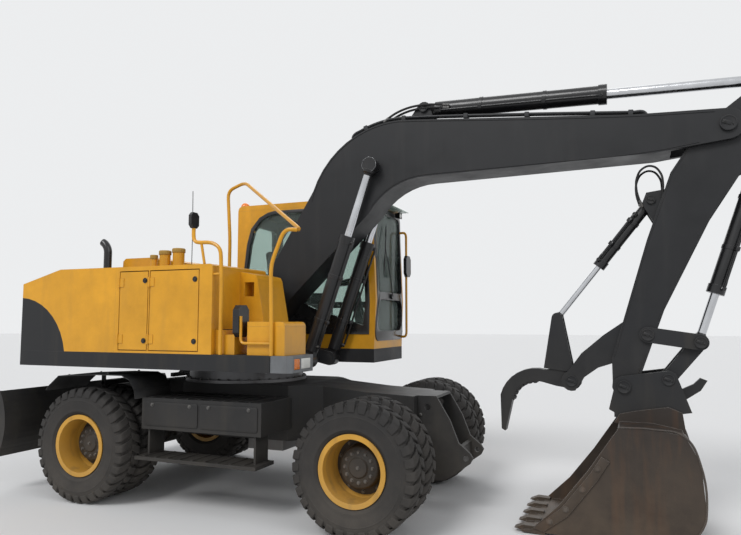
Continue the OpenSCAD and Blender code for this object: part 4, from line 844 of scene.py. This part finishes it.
# Seat: two crowned cushions in woven cloth, swelled by a short cloth simulation, with sewn channels and a
# welt seam, on a plastic pan over a folded rubber bellows.
def cushion(low, high, face, across, seams, tilt=0.0, pivot=None):
    """A crowned pad; the seams lie across its face at these places. Axes are 0, 1 and 2 for X, Y and Z."""
    low, high = Vector(low), Vector(high)
    pad = soften(block(low, high), 0.035, 4)
    only(pad)
    mesh_step = pad.modifiers.new("mesh_step", "REMESH")
    mesh_step.mode = "VOXEL"
    mesh_step.voxel_size = 0.006
    bpy.ops.object.modifier_apply(modifier="mesh_step")
    most = 0.010
    before = [vertex.co.copy() for vertex in pad.data.vertices]
    swell = pad.modifiers.new("swell", "CLOTH")
    swell.settings.use_pressure = True
    swell.settings.uniform_pressure_force = 4.0
    swell.settings.effector_weights.gravity = 0.0
    swell.point_cache.frame_start = 1
    swell.point_cache.frame_end = 20
    for step in range(1, 21):
        bpy.context.scene.frame_set(step)
    only(pad)
    bpy.ops.object.modifier_apply(modifier="swell")
    bpy.context.scene.frame_set(1)
    for vertex, start in zip(pad.data.vertices, before):
        move = vertex.co - start
        if move.length > most:
            vertex.co = start + move * (most / move.length)
    finer = pad.modifiers.new("finer", "SUBSURF")
    finer.levels = 1
    finer.render_levels = 1
    only(pad)
    bpy.ops.object.modifier_apply(modifier="finer")
    middle = (low + high) / 2
    for vertex in pad.data.vertices:
        for seam in seams:
            off = (vertex.co[across] - seam) / 0.007
            if vertex.co[face] > middle[face] and abs(off) < 3.0:
                vertex.co[face] -= 0.009 * math.exp(-off * off)
        # The welt's seam runs round the sides, a little above the middle
        rise = vertex.co[face] - middle[face] - 0.020
        if abs(rise) < 0.016:
            pull = 0.004 * math.exp(-(rise / 0.006) ** 2)
            for axis in range(3):
                off = vertex.co[axis] - middle[axis]
                if axis != face and (high[axis] - low[axis]) / 2 - abs(off) < 0.030:
                    vertex.co[axis] -= pull * math.copysign(1.0, off)
    if tilt:
        turn = Matrix.Rotation(math.radians(tilt), 4, "Y")
        pad.data.transform(Matrix.Translation(pivot) @ turn @ Matrix.Translation(-pivot))
    only(pad)
    bpy.ops.object.shade_smooth()
    return pad


seat_weave, tree, shader = new_material("seat_weave", {"Roughness": 0.92, "Sheen Weight": 0.35})
place = add_node(tree, "TexCoord").outputs["Object"]
warp = add_node(tree, "TexWave", {"Scale": 160.0}, {"Vector": place})
weft = add_node(tree, "TexWave", {"Scale": 160.0}, {"Vector": place})
weft.bands_direction = "Y"
crossed = maths(tree, "MULTIPLY", warp.outputs["Fac"], weft.outputs["Fac"])
weave_tone = ramp(tree, crossed, (0.0, (0.018, 0.018, 0.020)), (1.0, (0.075, 0.076, 0.082)))
weave_bump = add_node(tree, "Bump", {"Strength": 0.5, "Distance": 0.001}, {"Height": crossed})
tree.links.new(weave_tone, shader.inputs["Base Color"])
tree.links.new(weave_bump.outputs["Normal"], shader.inputs["Normal"])

seat_base = cushion(at(-0.085, 0.570, 1.762), at(0.375, 1.012, 1.868), 2, 1, (0.705, 0.877))
settle(seat_base, "seat_cushion", "upper", seat_weave)
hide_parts("seat")
seat_back = cushion(at(-0.085, 0.580, 1.905), at(0.015, 1.002, 2.495), 0, 2, (2.060, 2.200, 2.340), -8.3,
                    at(-0.030, 0.791, 1.90))
settle(seat_back, "seat_backrest", "upper", seat_weave)
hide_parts("seat")
pan_and_folds = [box_piece(at(-0.095, 0.556, 1.730), at(0.385, 1.026, 1.775), 0.012, 3)]
fold_height = 0.0465
for i in range(6):
    inwards = 0.008 * (i % 2)
    low = 1.4505 + fold_height * i
    pan_and_folds.append(box_piece(at(-0.045 + inwards, 0.595 + inwards, low),
                                   at(0.325 - inwards, 0.987 - inwards, low + fold_height), 0.012, 3))
seat_stand = settle(joined(pan_and_folds), "seat_base", "upper", trim_plastic)
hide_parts("seat")


# Pins: round end caps with a keeper plate, its bolt and a grease nipple at every pivot, and painted
# housings round the cylinders' rod eyes.
def pin_cap(radius):
    disc = inset_top(cylinder(36, radius, 0.012, 0.006), [(radius * 0.16, 0.0, 0.0), (0.0012, -0.003, 0.0)])
    soften(disc, 0.0015, 2)
    keeper = box_piece((-radius * 0.72, -radius * 0.24, 0.008), (radius * 0.30, radius * 0.24, 0.016), 0.002, 2)
    bolt = copied(hex_head(radius * 0.15, radius * 0.13), [(Vector((-radius * 0.42, 0, 0.016)), up, 0.2)])
    nipple = cylinder(12, 0.0045, 0.014, 0.015)
    nipple.data.transform(Matrix.Translation((radius * 0.52, 0.0, 0.0)))
    return joined([disc, keeper, bolt, soften(nipple, 0.001, 1)])


# Cylinders, as (foot's pin, rod's pin), each (x, z)
boom_cylinder = ((0.850, 1.295), (1.500, 3.150))
arm_cylinder = ((1.980, 3.700), (4.930, 3.601))
bucket_cylinder = ((4.7685, 3.0302), (4.2508, 1.5078))
thumb_cylinder = ((3.9348, 2.6776), (3.1587, 1.7017))
blade_cylinder = ((-1.510, 0.930), (-1.915, 0.535))
boom_tip = (4.510, 3.230)
thumb_pin = (3.2687, 1.1710)
# Pivots, as [name, body, (x, z), distance from the middle, radius]
for name, body, (x, z), y, radius in [
    ("boom_foot", "boom", (0.200, 1.680), 0.2320, 0.058),
    ("boom_cylinder_foot", "upper", boom_cylinder[0], 0.3270, 0.046),
    ("boom_tip", "boom", boom_tip, 0.1920, 0.062),
    ("arm_lever", "arm", arm_cylinder[1], 0.1300, 0.056),
    ("arm_cylinder_foot", "boom", arm_cylinder[0], 0.1000, 0.040),
    ("bucket_cylinder_foot", "arm", bucket_cylinder[0], 0.1000, 0.042),
    ("idler", "idler_links", (3.8707, 1.5643), 0.1650, 0.048),
    ("link", "idler_links", bucket_cylinder[1], 0.1750, 0.046),
    ("coupler_top", "bucket", (4.0100, 1.2108), 0.1740, 0.046),
    ("arm_nose", "bucket", (3.6803, 1.1450), 0.1880, 0.052),
    ("thumb", "thumb", thumb_pin, 0.1000, 0.046),
    ("thumb_cylinder_foot", "arm", thumb_cylinder[0], 0.0820, 0.036),
    ("blade_arm", "undercarriage", (-1.320, 0.420), 0.4600, 0.050),
    ("blade_cylinder_foot", "undercarriage", blade_cylinder[0], 0.3680, 0.036),
    ("blade_cylinder_eye", "blade", blade_cylinder[1], 0.3600, 0.036),
]:
    places = [(at(x, s * y, z), (0.0, s, 0.0), 0.6 + s) for s in (-1.0, 1.0)]
    settle(copied(pin_cap(radius), places), "pin_caps_" + name, body, frame_paint)

# Rod eyes with the neck that takes the rod, as [name, body, cylinder, the eyes' middles, radius, half width]
for name, body, ((x0, z0), (x, z)), middles, r, half in [
    ("boom_rod_eyes", "boom_rods", boom_cylinder, (-0.260, 0.260), 0.0735, 0.0455),
    ("arm_rod_eye", "arm_rod", arm_cylinder, (0.0,), 0.0675, 0.0590),
    ("bucket_rod_eye", "bucket_rod", bucket_cylinder, (0.0,), 0.0575, 0.0630),
    ("thumb_rod_eye", "thumb_rod", thumb_cylinder, (0.0,), 0.0412, 0.0488),
    ("blade_rod_eyes", "blade_rods", blade_cylinder, (-0.300, 0.300), 0.0462, 0.0388),
]:
    back = Vector((x0 - x, 0.0, z0 - z)).normalized()
    chamfer = 0.004
    ring_line = [(0.0, -half), (r - chamfer, -half), (r, -half + chamfer), (r, half - chamfer), (r - chamfer, half),
                 (0.0, half)]
    neck_line = [(0.0, 0.0), (r * 0.86, 0.0), (r * 0.80, r * 0.36), (r * 0.62, r * 0.56), (r * 0.56, r * 0.76),
                 (0.0, r * 0.76)]
    parts = []
    for y in middles:
        parts.append(copied(spun(ring_line, 40), [(at(x, y, z), (0.0, 1.0, 0.0), 0.0)]))
        parts.append(copied(spun(neck_line, 32), [(at(x, y, z) + back * r * 0.60, back, 0.0)]))
    settle(joined(parts), name, body, barrel_paint)


# Boom and arm: weld beads along the box's seams, steel pipes in bolted clamps along the top and in straps on
# the cylinders, and hoses that loop over to the cylinders.
weld_grey = finish_of(
    "weld_grey", (0.016, 0.0165, 0.018), 0.55, stain=(0.04, 0.035, 0.03), stain_share=0.5, dust=(0.11, 0.095, 0.075),
    dust_top=1.6, dust_share=0.3, grain=500.0, bump=0.7, edge=0.002)
low_edge = arc_points(2.020, 2.350, 0.686, 143, 91, 12) + [(3.00, 3.0427), (3.960, 3.0610), (4.30, 3.100)]
high_edge = arc_points(1.740, 2.640, 0.929, 166, 88, 16) + [(3.820, 3.3690), (4.420, 3.3360)]
bead, boom_side, arm_side = 0.0045, 0.1805, 0.1305
beads = [pipe([at(x, s * boom_side, z) for x, z in edge], bead, sides=1)
         for s in (-1.0, 1.0) for edge in (low_edge, high_edge)]
settle(joined(beads), "boom_weld_beads", "boom", weld_grey)
arm_angle = -111.7


def arm_at(u, v, y):
    """A place on the arm: u along it from the boom's pin, v across it, y from the middle."""
    a = math.radians(arm_angle)
    x, z = boom_tip
    return at(x + u * math.cos(a) - v * math.sin(a), y, z + u * math.sin(a) + v * math.cos(a))


arm_seams = ([(0.47, 0.180), (0.767, 0.122), (1.55, 0.057), (1.64, 0.058)], [(1.93, 0.060), (2.15, 0.062)],
             [(0.20, -0.190), (0.48, -0.251), (1.06, -0.231), (2.05, -0.150)])
beads = [pipe([arm_at(u, v, s * arm_side) for u, v in line], bead, sides=1, smooth=False)
         for s in (-1.0, 1.0) for line in arm_seams]
settle(joined(beads), "arm_weld_beads", "arm", weld_grey)

pipe_paint = finish_of(
    "pipe_paint", (0.022, 0.023, 0.025), 0.38, stain=(0.06, 0.055, 0.05), stain_share=0.5, worn=(0.20, 0.19, 0.18),
    worn_share=0.4)
pipes = []
for y in (-0.150, -0.112, 0.112, 0.150):
    top_line = arc_points(1.740, 2.640, 0.975, 118, 88, 6) + [(2.80, 3.522), (3.820, 3.415), (3.900, 3.408)]
    route = [at(x, y, z) for x, z in top_line]
    # Both ends turn down into the boom
    first = route[0] + Vector((-0.018, 0.0, -0.034))
    last = route[-1] + Vector((0.030, 0.0, -0.034))
    pipes.append(pipe([first] + route + [last], 0.0115))
settle(joined(pipes), "boom_pipes", "boom", pipe_paint)
clamps = []
clamp_bolts = []
for x, z, lean in [(1.42, 3.5312, -19.5), (1.80, 3.5832, 3.7), (2.40, 3.5313, 5.1), (2.95, 3.4764, 6.0),
                   (3.50, 3.4187, 6.0), (3.80, 3.3872, 6.0)]:
    turn = Matrix.Rotation(math.radians(lean), 4, "Y")
    for s in (-1.0, 1.0):
        foot = at(x, s * 0.131, z)
        clamp = box_piece((-0.020, -0.040, 0.0), (0.020, 0.040, 0.046), 0.005, 2)
        clamp.data.transform(Matrix.Translation(foot) @ turn)
        clamps.append(clamp)
        clamp_bolts.append((foot + turn @ Vector((0, 0, 0.045)), turn @ up, 0.1))
settle(joined(clamps), "boom_pipe_clamps", "boom", trim_plastic)
bolts("boom_clamp_bolts", "boom", fastener_steel, 0.009, 0.008, clamp_bolts)


def barrel_pipe(name, body, cylinder_pins, middles, reach, radius, out, side_step):
    """A steel pipe along a cylinder's barrel with two straps and a block at each end."""
    (x0, z0), (x1, z1) = cylinder_pins
    along = Vector((x1 - x0, 0.0, z1 - z0)).normalized()
    across = Vector((along.z, 0.0, -along.x)) * out
    parts = []
    for y in middles:
        side = Vector((0.0, math.copysign(side_step, y if y else -1.0), 0.0))
        lean = (across + side).normalized()
        start = at(x0, y, z0)
        line = ((0.15, -0.004), (0.17, 0.020), (0.22, 0.024), (reach * 0.5, 0.024), (reach - 0.13, 0.024),
                (reach - 0.07, 0.026), (reach - 0.045, 0.012))
        parts.append(pipe([start + along * u + lean * (radius + gap) for u, gap in line], 0.0105))
        for u in (0.165, reach - 0.050):
            port = spun([(0.0, 0.0), (0.021, 0.0), (0.021, 0.022), (0.017, 0.026), (0.017, 0.036), (0.0, 0.036)], 6,
                        20.0)
            parts.append(copied(port, [(start + along * u + lean * (radius - 0.006), lean, 0.0)]))
        for u in (reach * 0.33, reach * 0.68):
            strap = spun([(radius + 0.0003, -0.016), (radius + 0.005, -0.015), (radius + 0.005, 0.015),
                          (radius + 0.0003, 0.016)], 40, closed=True)
            parts.append(copied(strap, [(start + along * u, along, 0.0)]))
            saddle = box_piece((-0.018, -0.018, 0.0), (0.018, 0.018, 0.038), 0.004, 2)
            frame_turn = Matrix((lean.cross(along), along, lean)).transposed().to_4x4()
            saddle.data.transform(Matrix.Translation(start + along * u + lean * (radius - 0.002)) @ frame_turn)
            parts.append(saddle)
    settle(joined(parts), name, body, barrel_paint)


barrel_pipe("boom_barrel_pipes", "boom_barrels", boom_cylinder, (-0.260, 0.260), 1.260, 0.065, 1.0, 0.35)
barrel_pipe("arm_barrel_pipe", "arm_barrel", arm_cylinder, (0.0,), 1.640, 0.080, 0.35, 1.0)
barrel_pipe("bucket_barrel_pipe", "bucket_barrel", bucket_cylinder, (0.0,), 1.200, 0.060, -0.6, 1.0)
barrel_pipe("thumb_barrel_pipe", "thumb_barrel", thumb_cylinder, (0.0,), 0.690, 0.044, 0.6, 1.0)

hose_rubber = finish_of(
    "hose_rubber", (0.012, 0.012, 0.0125), 0.62, stain=(0.04, 0.037, 0.034), stain_share=0.4, grain=500.0, bump=0.5,
    edge=0.002)


def hose(name, body, points, diameter):
    """A rubber hose through a row of points with a crimped steel fitting at each end."""
    line = pipe(points, diameter / 2, sides=4)
    # The route itself, as fine as the hose, gives the length
    route = as_mesh(route_of(points, True))
    trail = [vertex.co.copy() for vertex in route.data.vertices]
    bpy.data.objects.remove(route)
    settle(line, name, body, hose_rubber)
    r = diameter / 2
    crimp_line = [(0.0, -0.018), (r * 1.25, -0.018), (r * 1.45, -0.014), (r * 1.45, 0.004), (r * 1.20, 0.006),
                  (r * 1.28, 0.010), (r * 1.28, 0.040), (r * 1.05, 0.044), (0.0, 0.044)]
    ends = [(trail[0], trail[1] - trail[0], 0.0), (trail[-1], trail[-2] - trail[-1], 0.0)]
    settle(copied(spun(crimp_line, 16, 25.0), ends), name + "_fittings", body, fastener_steel)


arm_loop = [(1.610, 3.600), (1.650, 3.632), (1.720, 3.672), (1.820, 3.706), (1.930, 3.722), (2.040, 3.722),
            (2.130, 3.712), (2.215, 3.700)]
for name, y, y_end, rise in (("arm_hose_outer", -0.150, -0.101, 0.0), ("arm_hose_inner", -0.112, -0.099, -0.026)):
    hose(name, "boom", [at(x, y + (y_end - y) * i / 7, z + rise) for i, (x, z) in enumerate(arm_loop)], 0.022)
thumb_loop = [(4.060, 2.560), (4.035, 2.600), (4.020, 2.680), (4.030, 2.800), (4.010, 2.900), (3.950, 2.955),
              (3.880, 2.940), (3.835, 2.870), (3.826, 2.780), (3.840, 2.700)]
for name, y in (("thumb_hose_outer", -0.098), ("thumb_hose_inner", 0.098)):
    hose(name, "arm", [at(x, y, z) for x, z in thumb_loop] + [at(3.862, y * 0.86, 2.635)], 0.018)


# Bucket and thumb: bare and rusty plate with bolted side cutters, wear strips round the heel and weld
# beads, and serrations on the thumb's claw.
bolt_rust = finish_of(
    "bolt_rust", (0.060, 0.045, 0.036), 0.6, metal=0.4, stain=(0.12, 0.06, 0.03), stain_share=0.7, dust_top=0.8,
    dust_share=0.3, edge=0.002)
cutter_line = [(2.985, 0.052), (3.200, 0.228), (3.420, 0.508), (3.505, 0.640), (3.565, 0.606), (3.470, 0.455),
               (3.250, 0.170), (3.060, 0.030)]
cutters = [plate([cutter_line], 0.016, side_plane(s * 0.5082), 0.003) for s in (-1.0, 1.0)]
cutter_bolts = [(at(x, s * 0.5160, z), (0.0, s, 0.0), 0.2) for s in (-1.0, 1.0)
                for x, z in ((3.110, 0.116), (3.235, 0.222), (3.360, 0.382), (3.475, 0.548))]
settle(joined(cutters), "bucket_side_cutters", "bucket", bucket_steel)
bolts("bucket_cutter_bolts", "bucket", bolt_rust, 0.019, 0.014, cutter_bolts)
heel = (3.920, 0.312)
back_line = [(3.640, 0.866), (3.880, 0.866), (4.086, 0.826), (4.184, 0.640)] + arc_points(*heel, 0.294, -10, -88, 7)
beads = [pipe([at(x, s * 0.4985, z) for x, z in back_line], 0.008, sides=2) for s in (-1.0, 1.0)]
settle(joined(beads), "bucket_weld_beads", "bucket", bucket_steel)
strip_line = arc_points(*heel, 0.311, -14, -84, 8) + arc_points(*heel, 0.2995, -84, -14, 8)
strips = [plate([strip_line], 0.080, side_plane(y), 0.002) for y in (-0.30, 0.0, 0.30)]
settle(joined(strips), "bucket_wear_strips", "bucket", bucket_steel)
teeth = []
claw_x, claw_z, claw_radius = thumb_pin[0] - 0.300, thumb_pin[1] - 0.225, 0.212
for i in range(7):
    a = math.radians(92.0 + 12.0 * i)
    inward = Vector((-math.cos(a), 0.0, -math.sin(a)))
    turn = Matrix((Vector((-inward.z, 0.0, inward.x)), Vector((0.0, 1.0, 0.0)), inward)).transposed().to_4x4()
    for y in (-0.042, 0.042):
        tooth = box_piece((-0.016, -0.010, -0.004), (0.016, 0.010, 0.020), 0.002, 1)
        pick_faces(tooth, lambda middle, normal: normal.z > 0.9)
        bpy.ops.transform.resize(value=(0.35, 1.0, 1.0))
        mode("OBJECT")
        foot = at(claw_x, y, claw_z) - inward * claw_radius
        tooth.data.transform(Matrix.Translation(foot) @ turn)
        teeth.append(tooth)
settle(joined(teeth), "thumb_serrations", "thumb", boom_paint)


# Blade: a bolted cutting edge along the bottom of the mouldboard, twelve rusty hexagon bolts in a row
# that lean with its face.
bolts("blade_edge_bolts", "blade", bolt_rust, 0.016, 0.012,
      [(at(-2.053, -1.10 + 0.20 * i, 0.381), (-0.94, 0.0, 0.34), 0.0) for i in range(12)])
